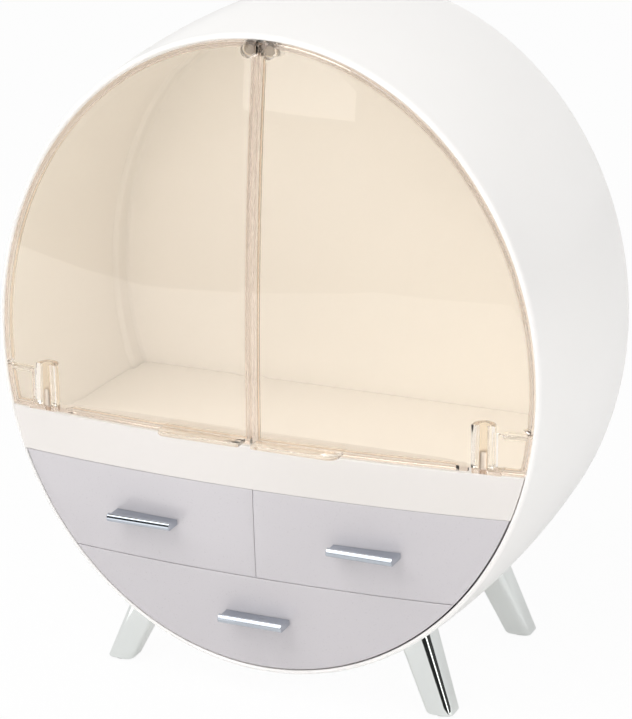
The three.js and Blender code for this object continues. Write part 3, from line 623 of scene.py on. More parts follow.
# The deck from the fascia's foot up over its edge, back along the ledge, down behind it and
# back over the floor. Points between the bends only carry the sheet on.
def deckPart():
    wall, top, bottom = deck["wall"], deck["top"], deck["bottom"]
    edge, ledge, turn = deck["edge"], deck["ledgeBack"], deck["round"]
    floor = toBack(ledge + turn + 4, 12)
    outer = [(1, 0, bottom), (1, 0, bottom + 6), (1, 0, top - 8)]
    outer += bend((edge, top - edge), edge, 180, 90, follow=1)
    outer += [(0.5, edge + 2, top), (0, 5, top), (0, ledge - turn - 2, top)]
    outer += bend((ledge - turn, top - turn), turn, 90, 0)
    outer += [(0, ledge, bottom + wall + turn + 3)]
    outer += bend((ledge + turn, bottom + wall + turn), turn, 180, 270)
    outer += [(0, depth, bottom + wall) for depth in floor]
    inner = [(1, wall, bottom), (1, wall, bottom + 6), (1, wall, top - 8)]
    inner += [(1, wall, top - wall)] * 5
    inner += [(0.5, wall + 2, top - wall), (0, 5, top - wall), (0, ledge - turn - 2, top - wall)]
    inner += [(0, ledge - wall, top - wall)] * 5
    inner += [(0, ledge - wall, bottom + wall + turn + 3)]
    inner += [(0, ledge - wall, bottom)] * 5
    inner += [(0, depth, bottom) for depth in floor]
    return acrossOval(outer, inner)


pin = {
    "across": 123.5, "depth": 0.6, "radius": 2.4, "bottom": -51.7, "top": -29.0, "ease": 0.8,
    "boss": 5.2, "bossBottom": -54.4, "bossTop": -42.0, "bossWall": 1.2,
}


# The boss for a hinge pin: a round post whose front is cut back into the fascia's wall
def pinBoss():
    profile = rod(pin["boss"], pin["bossTop"] - pin["bossBottom"])
    rows = turnedRows(profile, (pin["across"], pin["depth"], pin["bossBottom"]), (0, 0, 1))
    rows[..., 1] = np.maximum(rows[..., 1], frontAt(rows[..., 0], rows[..., 2]) + pin["bossWall"])
    return skin(rows)


screwBoss = {"bore": 1.8, "radius": 3.8, "length": 10.0}


# A round boss for each back screw, standing forward of the back panel
def bossParts(places):
    bore, radius, length = screwBoss["bore"], screwBoss["radius"], screwBoss["length"]
    profile = [(bore, 0), (radius, 0), (radius, length), (bore, length)]
    starts = [(x, roomBack - length, z) for x, z in places]
    return [skin(turnedRows(profile, start, (0, 1, 0)), closeRows=True) for start in starts]


addPiece("front_deck", [deckPart(), pinBoss(), *mirrored([pinBoss()]), *bossParts(backScrewPlaces[:2])],
         fasciaPlastic, "case", "compartment_deck")

shelf = {
    "front": 9.0, "top": -117.3, "bottom": -119.5, "ribPlaces": (32, 74, -32, -74),
    "rib": 1.2, "ribWidth": 2.0, "ribBack": 136.0, "ribRoot": 1.0,
}
divider = {"half": 1.1, "front": 13.0, "bottom": -117.0, "top": -65.4}
depths = toBack(shelf["front"], 16)
shelfSheet = acrossOval([(0, y, shelf["top"]) for y in depths], [(0, y, shelf["bottom"]) for y in depths])
shelfRibs = [
    boxPart((place - shelf["ribWidth"] / 2, shelf["front"], shelf["top"] - shelf["ribRoot"]),
            (place + shelf["ribWidth"] / 2, shelf["ribBack"], shelf["top"] + shelf["rib"]))
    for place in shelf["ribPlaces"]
]
dividerWall = boxPart((-divider["half"], divider["front"], divider["bottom"]),
                      (divider["half"], roomBack, divider["top"]))
addPiece("drawer_rack", [shelfSheet, *shelfRibs, *bossParts(backScrewPlaces[2:])],
         shellPlastic, "case", "drawer_shelf", bevel=shell["softEdge"])
addPiece("middle_wall", [dividerWall], shellPlastic, "case",
         "drawer_divider", bevel=shell["softEdge"])

rail = {
    "across": 34.0, "width": 4.0, "foot": 16.0, "footWall": 2.4, "top": -152.3, "front": 12.0, "back": 128.0,
}


# A rail: a foot that follows the shell's inner wall, and an upright rib on it
def railPart():
    low, high = rail["across"] - rail["foot"] / 2, rail["across"] + rail["foot"] / 2
    ribLow, ribHigh = rail["across"] - rail["width"] / 2, rail["across"] + rail["width"] / 2
    under = np.linspace(low, high, 12)
    over = np.concatenate([np.linspace(high, ribHigh, 4), [ribHigh, ribLow], np.linspace(ribLow, low, 4)])
    raised = np.array([0] * 4 + [1, 1] + [0] * 4)
    rows = []
    for depth in np.linspace(rail["front"], rail["back"], 14):
        wall = roomAt(depth)
        bottom = -tall * np.sqrt(wall ** 2 - under ** 2)
        foot = -tall * np.sqrt((wall - rail["footWall"]) ** 2 - over ** 2)
        x = np.concatenate([under, over])
        z = np.concatenate([bottom, np.where(raised, rail["top"], foot)])
        rows.append(atDepth(np.column_stack([x, z]), depth))
    caps = [np.tile(row.mean(0), (len(row), 1)) for row in (rows[0], rows[-1])]
    return skin([caps[0], *rows, caps[1]])


for side in ("right", "left"):
    addPiece(f"tray_rail_{side}", sided([railPart()], side), shellPlastic, "case",
             f"lower_rail_{side}", bevel=shell["softEdge"])
print("deck, shelf and rails made")

# Screws: a pan head with a crossed recess, and a plain shank. A head's eased edge, its dome and
# the cross are shares of its own radius or height.

screwHead = {"rings": 12, "edge": 0.1, "dome": 0.25, "arm": 0.16, "reach": 0.62, "depth": 0.6}


# The recess sinks where a point on the head is near either arm of the cross
def crossRecess(size):
    arm, reach = size["head"] * screwHead["arm"], size["head"] * screwHead["reach"]
    depth = size["height"] * screwHead["depth"]

    def ripple(radius, angle):
        across = np.abs(radius * np.cos(angle))
        up = np.abs(radius * np.sin(angle))
        near = np.minimum(across, up)
        inArm = 1 / (1 + np.exp((near - arm) / (arm * 0.18)))
        inReach = 1 / (1 + np.exp((radius - reach) / (arm * 0.25)))
        return inArm * inReach * depth * (np.arange(len(radius))[:, None] < screwHead["rings"])

    return ripple


def screwPart(size, seat, direction):
    head, height, shank, length = size["head"], size["height"], size["shank"], size["length"]
    under = -shell["gap"]
    top = under - height
    edge = head * screwHead["edge"]
    radius = np.linspace(0, head - edge, screwHead["rings"])
    rings = [(r, top + screwHead["dome"] * height * (r / head) ** 2) for r in radius]
    for a in np.linspace(math.pi / 2, 0, 5)[1:]:
        rings.append((head - edge + edge * math.cos(a), top + height * (0.4 - 0.2 * math.sin(a))))
    rings += [(head, under), (shank, under), (shank, length - shank)]
    rings += [(shank * 0.3, length - 0.1), (0, length)]
    return turned(rings, seat, direction, 48, crossRecess(size))


for i, (x, z) in enumerate(backScrewPlaces):
    addPiece(f"cover_screw_{i + 1}", [screwPart(backScrew, (x, backScrewDepth, z), (0, -1, 0))],
             turnedSteel, "case", f"back_screw_{i + 1}")

# Door catch: a nickel plate behind the doors' magnets, its one screw sunk flush

catchScrew = {"shank": 1.2, "head": 2.3, "height": 1.2, "length": 6.0}


def catchOutline(inset):
    half = catch["width"] / 2 - inset
    return roundedBox(-half, half, catch["top"] - catch["height"] + inset, catch["top"] - inset,
                      catch["corner"] - inset)


# The plate's section runs from the recess's edge out over the front, round the rim, back over
# the rear to the shank's hole and out over the recess's floor
def catchPart():
    turn = quarterTurn(4)
    front, ease, middle = catch["front"], catch["ease"], np.array([0, catch["level"]])
    back, floor = front + catch["thickness"], front + catchScrew["height"] + shell["gap"]
    hole = toCircle(catchOutline(0), middle, catchScrew["shank"] + shell["gap"])
    recess = toCircle(catchOutline(0), middle, catchScrew["head"] + shell["gap"])
    plan = [(recess, front)]
    plan += [(catchOutline(ease * s), front + ease * c) for c, s in turn]
    plan += [(catchOutline(ease * c), back - ease * s) for c, s in turn]
    plan += [(hole, back), (hole, floor), (recess, floor)]
    return skin([atDepth(ring, depth) for ring, depth in plan], closeRows=True)


addPiece("door_catch", [catchPart()], nickel, "case", "catch_plate")
catchScrewSeat = (0, catch["front"] + catchScrew["height"] + shell["gap"], catch["level"])
addPiece("door_catch_screw", [screwPart(catchScrew, catchScrewSeat, (0, 1, 0))],
         turnedSteel, "case", "catch_screw")

# Legs: a rounded square that widens from the foot up, leaning in, and ends a hair below the
# shell. A side line's top is where it meets the body, found by halving.

legs = {
    "front": {"foot": (95.0, 25.0), "lean": (-0.43, 0.16)},
    "rear": {"foot": (99.5, 140.5), "lean": (-0.43, -0.16)},
}
legShape = {
    "footSize": 15.4, "topSize": 21.2, "reach": 62.0, "corner": 5.5, "ease": 1.2, "proud": 1.0,
    "gap": 0.3, "padRadius": 5.5, "padThickness": 2.6, "padEase": 0.5, "padEdge": 0.2,
}
legScrew = {"shank": 2.5, "head": 4.4, "height": 2.4, "length": 26.0, "shift": 5.0}


# Half width of the closed body's outside at a depth, with the rolled rear edge
def bodyAt(depth, clearance):
    start = seamDepth
    turn = np.clip(depth - start, 0, shell["rearRoll"])
    roll = outerAt(seamDepth) - shell["rearRoll"] + np.sqrt(
        np.maximum((shell["rearRoll"] + clearance) ** 2 - turn ** 2, 0))
    return np.where(depth > start, roll, outerAt(np.minimum(depth, start)) + clearance)


# A leg's line: the middle of its foot on the ground, and how it leans as it rises
def legLine(size):
    return np.array([*size["foot"], -oval["middleHeight"]]), np.array([*size["lean"], 1.0])


def legPart(size):
    unit = roundedBox(-0.5, 0.5, -0.5, 0.5, legShape["corner"] / legShape["topSize"], 9, 6)
    foot, lean = legLine(size)
    ease, proud = legShape["ease"], legShape["proud"]
    straight = proud + ease

    def ring(height, share=1.0, less=0.0):
        height = np.broadcast_to(height, len(unit))[:, None]
        grown = (height - straight) / (legShape["reach"] - straight)
        across = legShape["footSize"] + (legShape["topSize"] - legShape["footSize"]) * np.maximum(grown, 0)
        return foot + lean * height + atLevel(unit * (across - less) * share, 0)

    def topOf(share):
        low, high = np.zeros(len(unit)), np.full(len(unit), legShape["reach"])
        for _ in range(30):
            middle = (low + high) / 2
            x, y, z = ring(middle, share).T
            within = np.hypot(x, z / tall) < bodyAt(y, legShape["gap"])
            low, high = np.where(within, low, middle), np.where(within, middle, high)
        return low

    turn = quarterTurn()
    holeRing = toCircle(atLevel(unit, 0), 0, legShape["padRadius"] + legShape["gap"])
    roof = foot + [0, 0, legShape["padThickness"] + legShape["gap"]]
    rows = [np.tile(roof, (len(unit), 1)), roof + holeRing, foot + [0, 0, proud] + holeRing]
    rows += [ring(proud + ease * c, less=2 * ease * s) for c, s in turn]
    top = topOf(1.0)
    rows += [ring(straight + (top - straight) * share) for share in np.linspace(0, 1, 12)[1:]]
    rows += [ring(topOf(share), share) for share in (0.8, 0.55, 0.3, 0.0)]
    return skin(rows)


# A leg screw's seat lies just under the shell's inner face on the leg's own line
def legScrewSeat(place, size):
    foot, lean = legLine(size)
    low, high = 0.0, legShape["reach"]
    for _ in range(40):
        middle = (low + high) / 2
        x, y, z = foot + lean * middle
        low, high = (middle, high) if math.hypot(x, z / tall) > innerAt(size["foot"][1]) else (low, middle)
    seat = foot + lean * low - lean / np.linalg.norm(lean) * shell["wall"] / 3
    seat[1] += legScrew["shift"] if place == "front" else -legScrew["shift"]
    return seat, -lean


for place, size in legs.items():
    seat, down = legScrewSeat(place, size)
    padStart = legLine(size)[0]
    radius, top = legShape["padRadius"], legShape["padThickness"]
    ease, edge = legShape["padEase"], legShape["padEdge"]
    padProfile = [(0, 0), (radius - ease, 0), (radius - 0.3 * ease, 0.3 * ease), (radius, ease),
                  (radius, top - edge), (radius - edge, top), (0, top)]
    made = {
        "leg": ([legPart(size)], chromePlate, "chrome"),
        "leg_screw": ([screwPart(legScrew, seat, down)], turnedSteel, "steel"),
        "foot_pad": ([turned(padProfile, padStart, (0, 0, 1))], footRubber, "rubber"),
    }
    for kind, (parts, look, slotName) in made.items():
        for side in ("right", "left"):
            addPiece(f"{kind}_{place}_{side}", sided(parts, side), look, "case",
                     f"{place}_{kind}_{side}")
print("screws, catch and legs made")

# Drawers

drawer = {
    "edge": 149.2, "upperTop": -65.35, "upperBottom": -116.4, "lowerTop": -116.65, "middleGap": 0.08,
    "front": {"wall": 2.6, "depth": 7.0, "edge": 0.45, "fillet": 0.8},
}


def upperOutline(inset):
    left, edge = drawer["middleGap"] + inset, drawer["edge"] - inset
    low, high = drawer["upperBottom"] + inset, drawer["upperTop"] - inset
    side = ovalRun(edge, low, high, 40)
    return closed(lineRun((left, high), (left, low), 24), lineRun((left, low), side[0], 48),
                  side, lineRun(side[-1], (left, high), 60))


def lowerOutline(inset):
    edge, high = drawer["edge"] - inset, drawer["lowerTop"] - inset
    start = math.asin(high / (edge * tall))
    angle = np.linspace(-math.pi - start, start, 110)
    bowl = arcRun((0, 0), (edge, edge * tall), angle)
    return closed(bowl, lineRun(bowl[-1], bowl[0], 90))


tray = {
    "front": 8.5, "back": 136.0, "wall": 1.8, "edge": 0.9, "corner": 4.0, "tightest": 0.6, "fillet": 2.2,
    "rim": 0.5,
}


# A tray grows ring by ring: out over its floor, up outside, over the rim, down inside and back
# in over the floor. Each ring is a rounded box whose sides stand where limits(level) says.
def trayPart(limits, low, high):
    turn = quarterTurn()
    edge, wall, fillet, rim = tray["edge"], tray["wall"], tray["fillet"], tray["rim"]
    plan = [(edge, share, low) for share in (0, 0.4, 0.8, 1)]
    plan += [(edge * s, 1, low + edge * c) for c, s in turn[1:]]
    plan += [(0, 1, level) for level in np.linspace(low + edge, high - rim, 12)[1:]]
    plan += [(rim * c, 1, high - rim * s) for c, s in turn][1:]
    plan += [(wall - rim * s, 1, high - rim * c) for c, s in turn]
    plan += [(wall, 1, level) for level in np.linspace(high - rim, low + wall + fillet, 12)[1:]]
    plan += [(wall + fillet * c, 1, low + wall + fillet * s) for c, s in turn][1:]
    plan += [(wall + fillet, share, low + wall) for share in (0.8, 0.4, 0)]
    rows = []
    for inset, share, level in plan:
        left, right = limits(level)
        corner = max(tray["corner"] - inset, tray["tightest"])
        front, back = tray["front"] + inset, tray["back"] - inset
        flat = roundedBox(left + inset, right - inset, front, back, corner, 7, 9)
        middle = np.array([(left + right) / 2, (tray["front"] + tray["back"]) / 2])
        rows.append(atLevel(middle + share * (flat - middle), level))
    return skin(rows)


handle = {
    "width": 36.6, "reach": 12.3, "plate": 3.3, "barHeight": 4.6, "barDepth": 4.2, "lift": 0.7,
    "gap": 0.3, "studSpread": 24.0, "studRadius": 1.5, "studProud": 0.6,
    "studEnd": 3.0, "edge": 0.45,
}


# A handle's section: along the plate's underside, round the bar's ellipse and back over the
# plate. It is carried across, and its rear edge follows the drawer's bulge.
def handlePart(across, level):
    barMiddle = float(frontAt(across, level)) - handle["reach"] + handle["barDepth"] / 2
    halfDepth, halfHeight = handle["barDepth"] / 2, handle["barHeight"] / 2
    low, high = level - handle["plate"] / 2, level + handle["plate"] / 2
    middle = level + handle["lift"]
    start = math.asin(max((low - middle) / halfHeight, -1))
    stop = math.asin((high - middle) / halfHeight)
    angle = np.linspace(2 * math.pi + start, stop, 34)
    bar = arcRun((barMiddle, middle), (halfDepth, halfHeight), angle)
    rows = []
    half = handle["width"] / 2
    for x in np.linspace(across - half, across + half, 15):
        under = float(frontAt(x, low)) - handle["gap"]
        over = float(frontAt(x, high)) - handle["gap"]
        section = np.concatenate([
            lineRun((under, low), bar[0], 6)[:-1], bar, lineRun(bar[-1], (over, high), 6)[1:],
            lineRun((over, high), (under, low), 4)[1:-1],
        ])
        rows.append(np.column_stack([np.full(len(section), x), section]))
    return rows


# Rows skinned with a flat face over each end
def capped(rows):
    points, faces = skin(rows)
    key = {tuple(point): i for i, point in enumerate(points.tolist())}
    ends = [[key[tuple(point)] for point in np.round(row, 4).tolist()] for row in (rows[0], rows[-1])]
    return points, [*faces, ends[0][::-1], ends[1]]


def studPlaces(across, level):
    return [(across + side * handle["studSpread"] / 2, level) for side in (-1, 1)]


def studPart(x, z):
    start = float(frontAt(x, z)) - handle["studProud"]
    return turned(rod(handle["studRadius"], handle["studEnd"] - start), (x, start, z), (0, 1, 0), 28)


handleScrew = {"shank": 1.2, "head": 2.6, "height": 1.8, "length": 11.0}


def addDrawer(side, outline, size):
    name, body, places = f"drawer_{side}", f"{side}_drawer", studPlaces(*size["pull"])

    def limits(level):
        right = float(ovalAcross(size["trayReach"], level))
        return size.get("trayLeft", -right), right

    face = mouldedFront(outline, size["middle"], drawer["front"])
    hollow = trayPart(limits, size["trayLow"], size["trayHigh"])
    grip = sided([capped(handlePart(*size["pull"])), *[studPart(*place) for place in places]], side)
    addPiece(f"{name}_face", sided([face], side), drawerPlastic, body, f"{name}_front")
    addPiece(f"{name}_bin", sided([hollow], side), trayPlastic, body, f"{name}_tray")
    addPiece(f"{name}_pull", grip, chromePull, body, f"{name}_handle", bevel=handle["edge"])
    for i, (x, z) in enumerate(places):
        seat = (x, tray["front"] + tray["wall"], z)
        addPiece(f"{name}_pull_screw_{i + 1}", sided([screwPart(handleScrew, seat, (0, -1, 0))], side),
                 turnedSteel, body, f"{name}_screw_{i + 1}")


upperDrawer = {
    "middle": (62.0, -90.0), "pull": (63.0, -91.3), "trayLeft": 2.4, "trayReach": 144.5,
    "trayLow": -115.8, "trayHigh": -71.0,
}
lowerDrawer = {
    "middle": (0.0, -138.0), "pull": (0.0, -140.0), "trayReach": 141.0, "trayLow": -152.0, "trayHigh": -123.0,
}
addDrawer("right", upperOutline, upperDrawer)
addDrawer("left", upperOutline, upperDrawer)
addDrawer("lower", lowerOutline, lowerDrawer)
print("drawers made")

# Doors

door = {
    "edge": 149.2, "joint": 0.6, "bottom": -40.2, "notchLeft": 116.3, "notchTop": -18.0,
    "barrelBottom": -38.0, "barrelRight": 129.7, "middle": (70.0, 52.0),
    "front": {"wall": 2.4, "depth": 7.0, "edge": 0.7, "fillet": 0.9},
}


def doorOutline(inset):
    edge, left, low = door["edge"] - inset, door["joint"] + inset, door["bottom"] + inset
    flangeEnd = (door["notchLeft"] - 2 * door["front"]["wall"], low)
    notch = (door["notchLeft"] - inset, low)
    step = (door["notchLeft"] - inset, door["barrelBottom"] + inset)
    foot = (door["barrelRight"] - inset, door["barrelBottom"] + inset)
    shoulder = (door["barrelRight"] - inset, door["notchTop"] + inset)
    top = edge * tall * math.sin(math.acos(left / edge))
    side = ovalRun(edge, door["notchTop"] + inset, top, 110)
    return closed(lineRun((left, low), flangeEnd, 39), lineRun(flangeEnd, notch, 3), lineRun(notch, step, 3),
                  lineRun(step, foot, 7), lineRun(foot, shoulder, 10), lineRun(shoulder, side[0], 9), side,
                  lineRun(side[-1], (left, low), 90))


# The door's edge is turned back along its bottom, its oval side and the joint, not round the
# notch, counted in the points that each run gives
doorTurns = np.repeat([1, 0, 1], [38, 2 + 2 + 6 + 9 + 8, 109 + 89])


barrel = {"radius": 6.15, "bottom": -37.95, "top": -15.0, "bore": 2.7, "edge": 0.4}


# The hinge barrel: its flat front stands in the door's skin, its back is round, and it is bored
# for the pin; carried up in rings
def barrelPart():
    angle = np.linspace(0, math.pi, 25)

    def section(inset, z):
        grown = barrel["radius"] - inset
        left, right = pin["across"] - grown, pin["across"] + grown
        middle = door["front"]["wall"] / 2
        nearLeft, nearRight = (left, frontAt(left, z) + middle), (right, frontAt(right, z) + middle)
        curve = arcRun((pin["across"], pin["depth"]), grown, angle)
        flat = closed(curve, lineRun((left, pin["depth"]), nearLeft, 5), lineRun(nearLeft, nearRight, 11),
                      lineRun(nearRight, (right, pin["depth"]), 5))
        return atLevel(flat, z)

    def bore(grown, z):
        return toCircle(section(0, z), [pin["across"], pin["depth"], z], barrel["bore"] + grown)

    turn = quarterTurn(4)
    edge, low, high = barrel["edge"], barrel["bottom"], barrel["top"]
    rows = [section(edge * c, low + edge * s) for c, s in turn[::-1]]
    rows += [section(edge * c, high - edge * s) for c, s in turn]
    rows += [bore(edge * s, high - edge * c) for c, s in turn]
    rows += [bore(edge * s, low + edge * c) for c, s in turn[::-1]]
    return skin(rows, closeRows=True)


tab = {
    "left": 3.2, "right": 51.0, "reach": -20.6, "low": -38.9, "high": -36.7, "corner": 5.5, "ease": 1.2,
    "edge": 0.5, "root": 1.2, "middle": (27.0, -15.5),
}


# The finger tab: a flat shelf out of the door's lower edge, its far corner well rounded
def tabPart():
    angle = np.linspace(-math.pi / 2, 0, 10)

    def outline(inset, level):
        left, right, reach = tab["left"] + inset, tab["right"] - inset, tab["reach"] + inset
        corner, ease = tab["corner"] - inset, tab["ease"] - inset * 0.5
        near = lineRun((left + ease, reach), (right - corner, reach), 30)
        bend = arcRun((right - corner, reach + corner), corner, angle)
        x = np.linspace(right, left, 34)
        back = np.stack([x, frontAt(x, level) + tab["root"]], 1)
        side = lineRun(bend[-1], back[0], 6)
        start = lineRun(back[-1], (left, reach + ease), 10)
        first = arcRun((left + ease, reach + ease), ease, np.linspace(math.pi, 1.5 * math.pi, 6))
        return closed(near, bend, side, back, start, first)

    turn = quarterTurn()
    edge, low, high = tab["edge"], tab["low"], tab["high"]
    plan = [(edge, share, low) for share in (0, 0.5, 1)]
    plan += [(edge * s, 1, low + edge * c) for c, s in turn[1:]]
    plan += [(edge * c, 1, high - edge * s) for c, s in turn]
    plan += [(edge, share, high) for share in (0.5, 0)]
    middle = np.array(tab["middle"])
    return skin([
        atLevel(middle + share * (outline(inset, level) - middle), level) for inset, share, level in plan
    ])


magnet = {
    "radius": 2.8, "thickness": 2.2, "across": 5.6, "level": catch["level"], "boss": 1.2, "fit": 0.15,
    "back": catch["front"] - shell["gap"], "ease": 0.3,
}


# The magnet's boss: a cup whose floor stands in the door's skin
def magnetBossPart():
    start = float(frontAt(magnet["across"], magnet["level"])) + door["front"]["wall"] / 2
    outer, inner = magnet["radius"] + magnet["boss"], magnet["radius"] + magnet["fit"]
    length, ease = magnet["back"] - start, magnet["ease"]
    floor = length - magnet["thickness"] - shell["gap"]
    profile = [(0, 0), (outer, 0), (outer, length - ease), (outer - ease, length), (inner + ease, length),
               (inner, length - ease), (inner, floor), (0, floor)]
    return turned(profile, (magnet["across"], start, magnet["level"]), (0, 1, 0), 36)


# The magnet: a disc with eased edges, flush with its boss
def magnetPart():
    radius, thickness, ease = magnet["radius"], magnet["thickness"], magnet["ease"]
    profile = [(0, 0), (radius - ease, 0), (radius, ease), (radius, thickness - ease),
               (radius - ease, thickness), (0, thickness)]
    return turned(profile, (magnet["across"], magnet["back"] - thickness, magnet["level"]), (0, 1, 0), 36)


doorSkin = mouldedFront(doorOutline, door["middle"], door["front"], doorTurns)
doorExtras = [barrelPart(), tabPart(), magnetBossPart()]

corner = {
    "left": 131.7, "top": -18.6, "bottom": -40.7, "earTop": -38.3, "earRadius": 6.4, "earRoot": 2.0,
    "earDepths": (0.1, 6.9), "hole": 2.6, "middle": (138.5, -29.0),
}


def cornerOutline(inset):
    left, low, high = corner["left"] + inset, corner["bottom"] + inset, corner["top"] - inset
    side = ovalRun(door["edge"] - inset, low, high, 20)
    return closed(side, lineRun(side[-1], (left, high), 10), lineRun((left, high), (left, low), 14),
                  lineRun((left, low), side[0], 10))


# The ear under the barrel: a flat tongue with a round end and the pin's hole
def earPart():
    axis = (pin["across"], pin["depth"])
    bend = arcRun(axis, corner["earRadius"], np.linspace(math.pi / 2, 1.5 * math.pi, 25))
    limits = [frontAt(bend[:, 0], corner["bottom"]) + offset for offset in corner["earDepths"]]
    bend[:, 1] = np.clip(bend[:, 1], *limits)
    root = corner["left"] + corner["earRoot"]
    near, far = (root, bend[-1, 1]), (root, bend[0, 1])
    outline = closed(bend, lineRun(bend[-1], near, 6), lineRun(near, far, 8), lineRun(far, bend[0], 6))
    hole = toCircle(outline, axis, corner["hole"])
    low, high = corner["bottom"], corner["earTop"]
    rows = [atLevel(outline, low), atLevel(outline, high), atLevel(hole, high), atLevel(hole, low)]
    return skin(rows, closeRows=True)


cornerTurns = np.repeat([1, 0, 1], [19 + 9, 13, 9])
cornerSkin = mouldedFront(cornerOutline, corner["middle"], door["front"], cornerTurns)
radius, ease, length = pin["radius"], pin["ease"], pin["top"] - pin["bottom"]
pinProfile = [(0, 0), (radius, 0), (radius, length - ease), (radius - 0.3, length - 0.25),
              (radius - ease, length), (0, length)]
pinParts = [turned(pinProfile, (pin["across"], pin["depth"], pin["bottom"]), (0, 0, 1), 36)]
for side in ("right", "left"):
    body = f"{side}_door"
    doorPiece = addPiece(f"clear_door_{side}", sided([doorSkin], side), clearPlastic, body,
                         f"door_{side}")
    carve(doorPiece, "UNION", sided(doorExtras, side))
    cornerPiece = addPiece(f"clear_corner_{side}", sided([cornerSkin], side), clearPlastic, "case",
                           f"hinge_corner_{side}")
    carve(cornerPiece, "UNION", sided([earPart()], side))
    addPiece(f"door_pin_{side}", sided(pinParts, side), pinSteel, "case", f"hinge_pin_{side}")
    addPiece(f"door_disc_{side}", sided([magnetPart()], side), nickel, body,
             f"door_magnet_{side}")
print("doors made")

# Stage

# One flat sheet of the stage, from its corners
def addSheet(name, corners, look):
    mesh = bpy.data.meshes.new(name)
    mesh.from_pydata(corners, [], [list(range(len(corners)))])
    mesh.materials.append(look)
    sheet = bpy.data.objects.new(name, mesh)
    bpy.context.scene.collection.objects.link(sheet)
    return sheet


# The floor is white paper: light falls on it as on a plain matte sheet, and rays from the camera
# and through glass see mostly its white, as mirrored rays do in part
paper = {
    "half": 9, "colour": (0.9, 0.9, 0.9, 1), "roughness": 0.9, "glow": 1.0,
    "seen": {"Is Camera Ray": 0.95, "Is Transmission Ray": 0.95, "Is Glossy Ray": 0.3},
}


def paperLook():
    look = Look("paperFloor")
    look.put(Base_Color=paper["colour"], Roughness=paper["roughness"])
    look.show(seenBy(look.tree, look.shader.outputs[0], look.glow(paper["glow"]), paper["seen"]))
    return look.look


half = paper["half"]
addSheet("floor", [(-half, -half, 0), (half, -half, 0), (half, half, 0), (-half, half, 0)], paperLook())

# Glowing cards that only mirroring surfaces see, painted reflections of a room: a dark sheet
# past the table's front edge and behind it, a bright sheet on the table to the left, a dark wall
# and ceiling to the front left with bright strips beside them that paint highlights on the
# handles, and two dark walls to the right that paint dark streaks on the legs
room = {"table": 0.002, "wall": -2.15, "ceiling": 3.2}


def onTable(*points):
    return [(x, y, room["table"]) for x, y in points]


def onWall(*points):
    return [(x, room["wall"], z) for x, z in points]


def onCeiling(*points):
    return [(x, y, room["ceiling"]) for x, y in points]


# The line between dark and bright, up the wall in (x, z) and back over the ceiling in (x, y)
wallLine = [(-0.92, 0.25), (-0.96, 0.7), (-1.12, 1.6), (-1.38, 2.45), (-1.62, 3.2)]
ceilingLine = [(-1.62, -2.15), (-1.5, -1.5), (-1.42, -0.86)]
cards = {
    "tableEnd": (0.12, onTable((-9, -9), (9, -9), (4, -1.19), (-0.17, -1.09), (-0.36, -0.96),
                               (-0.55, -0.84), (-0.7, -0.82), (-4, -0.82))),
    "farWall": (0.12, [(-9, -8.9, 0.01), (9, -8.9, 0.01), (9, -8.9, 0.55), (-9, -8.9, 0.55)]),
    "leftSheet": (1.5, onTable((-1.6, -0.815), (-0.7, -0.815), (-0.55, -0.83), (-0.37, -0.945),
                               (-0.06, -0.2), (-1.6, -0.2))),
    "leftWall": (0.02, onWall((-6, 0.01), (-0.92, 0.01), *wallLine, (-6, 3.2))),
    "leftCeiling": (0.02, onCeiling((-6, -2.15), *ceilingLine, (-1.38, 0), (-1.36, 0.6), (-6, 0.6))),
    "brightWall": (2.0, onWall(wallLine[0], (-0.5, 0.25), (-0.5, 3.2), *wallLine[:0:-1])),
    "brightCeiling": (2.0, onCeiling(ceilingLine[0], (-0.9, -2.15), (-0.9, -0.4), (-1.4, -0.4),
                                     *ceilingLine[:0:-1])),
    "nearRight": (0.02, [(-0.45, -2.2, 0.02), (2.2, -1.2, 0.02), (2.2, -1.2, 2.0), (-0.45, -2.2, 2.0)]),
    "farRight": (0.05, [(2.2, -0.95, 0.12), (1.6, 2.2, 0.12), (1.6, 2.2, 2.0), (2.2, -0.95, 2.0)]),
}


# A card glows evenly by its shade and takes no part in the lighting
for name, (shade, corners) in cards.items():
    look = Look(name)
    look.show(look.glow(shade))
    card = addSheet(name, corners, look.look)
    card.visible_camera = card.visible_diffuse = card.visible_transmission = card.visible_shadow = False

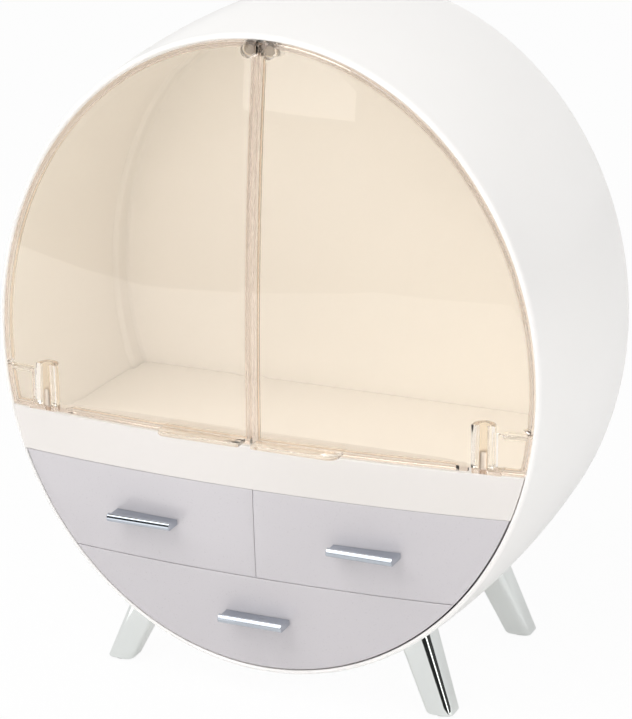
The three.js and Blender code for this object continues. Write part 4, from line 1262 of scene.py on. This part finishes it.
# The room's light falls off from the left to the right, and rays that show the background see white
studio = {"fill": 0.55, "fall": (-0.18, 0.0, 0.0), "background": 1.0}
world = bpy.data.worlds.new("studio")
bpy.context.scene.world = world
world.use_nodes = True
tree = world.node_tree
aim = addNode(tree, "ShaderNodeTexCoord").outputs["Generated"]
fall = addNode(tree, "ShaderNodeVectorMath", {0: aim, 1: studio["fall"]}, operation="DOT_PRODUCT")
level = addNode(tree, "ShaderNodeMath", {0: fall.outputs["Value"], 1: studio["fill"]}).outputs[0]
fill = addNode(tree, "ShaderNodeBackground", {"Color": (1, 1, 1, 1), "Strength": level}).outputs[0]
white = {"Color": (1, 1, 1, 1), "Strength": studio["background"]}
white = addNode(tree, "ShaderNodeBackground", white).outputs[0]
rays = {"Is Camera Ray": 1, "Is Glossy Ray": 1, "Is Transmission Ray": 1}
tree.links.new(seenBy(tree, fill, white, rays), tree.nodes["World Output"].inputs["Surface"])

lamps = {
    "overheadPanel": {"place": (-0.6, -1.3, 2.15), "size": 1.6, "power": 22.5, "mirrored": True},
    "frontPanel": {"place": (0.35, -2.4, 0.95), "size": 1.4, "power": 13.5, "mirrored": False},
    "sidePanel": {"place": (2.1, -0.35, 0.7), "size": 1.2, "power": 11.5, "mirrored": True},
}
lampAim = Vector((0, 0, 0.2))
for name, size in lamps.items():
    light = bpy.data.lights.new(name, "AREA")
    light.shape = "SQUARE"
    light.size, light.energy = size["size"], size["power"]
    lamp = bpy.data.objects.new(name, light)
    lamp.location = size["place"]
    lamp.visible_glossy = lamp.visible_transmission = size["mirrored"]
    lamp.rotation_euler = (lampAim - lamp.location).to_track_quat("-Z", "Y").to_euler()
    bpy.context.scene.collection.objects.link(lamp)

view = {
    "azimuth": 22.71, "elevation": 18.71, "distance": 1.4695, "aim": (0.03456, -0.0662, 0.19887),
    "lens": 143.92, "shift": (-0.00704, -0.00053),
}
turn, rise = math.radians(view["azimuth"]), math.radians(view["elevation"])
back = Vector((math.sin(turn) * math.cos(rise), -math.cos(turn) * math.cos(rise), math.sin(rise)))
eye = bpy.data.cameras.new("photoView")
eye.lens, eye.sensor_width, eye.sensor_fit = view["lens"], 36, "AUTO"
eye.shift_x, eye.shift_y = view["shift"]
camera = bpy.data.objects.new("photoView", eye)
camera.location = Vector(view["aim"]) + back * view["distance"]
camera.rotation_euler = (-back).to_track_quat("-Z", "Y").to_euler()
scene = bpy.context.scene
scene.collection.objects.link(camera)
scene.camera = camera
scene.view_settings.view_transform = "Standard"
bounces = {"transparent_max": 24, "max": 24, "diffuse": 12, "transmission": 16, "glossy": 16}
for kind, count in bounces.items():
    setattr(scene.cycles, f"{kind}_bounces", count)
print("stage set")

bpy.context.view_layer.update()
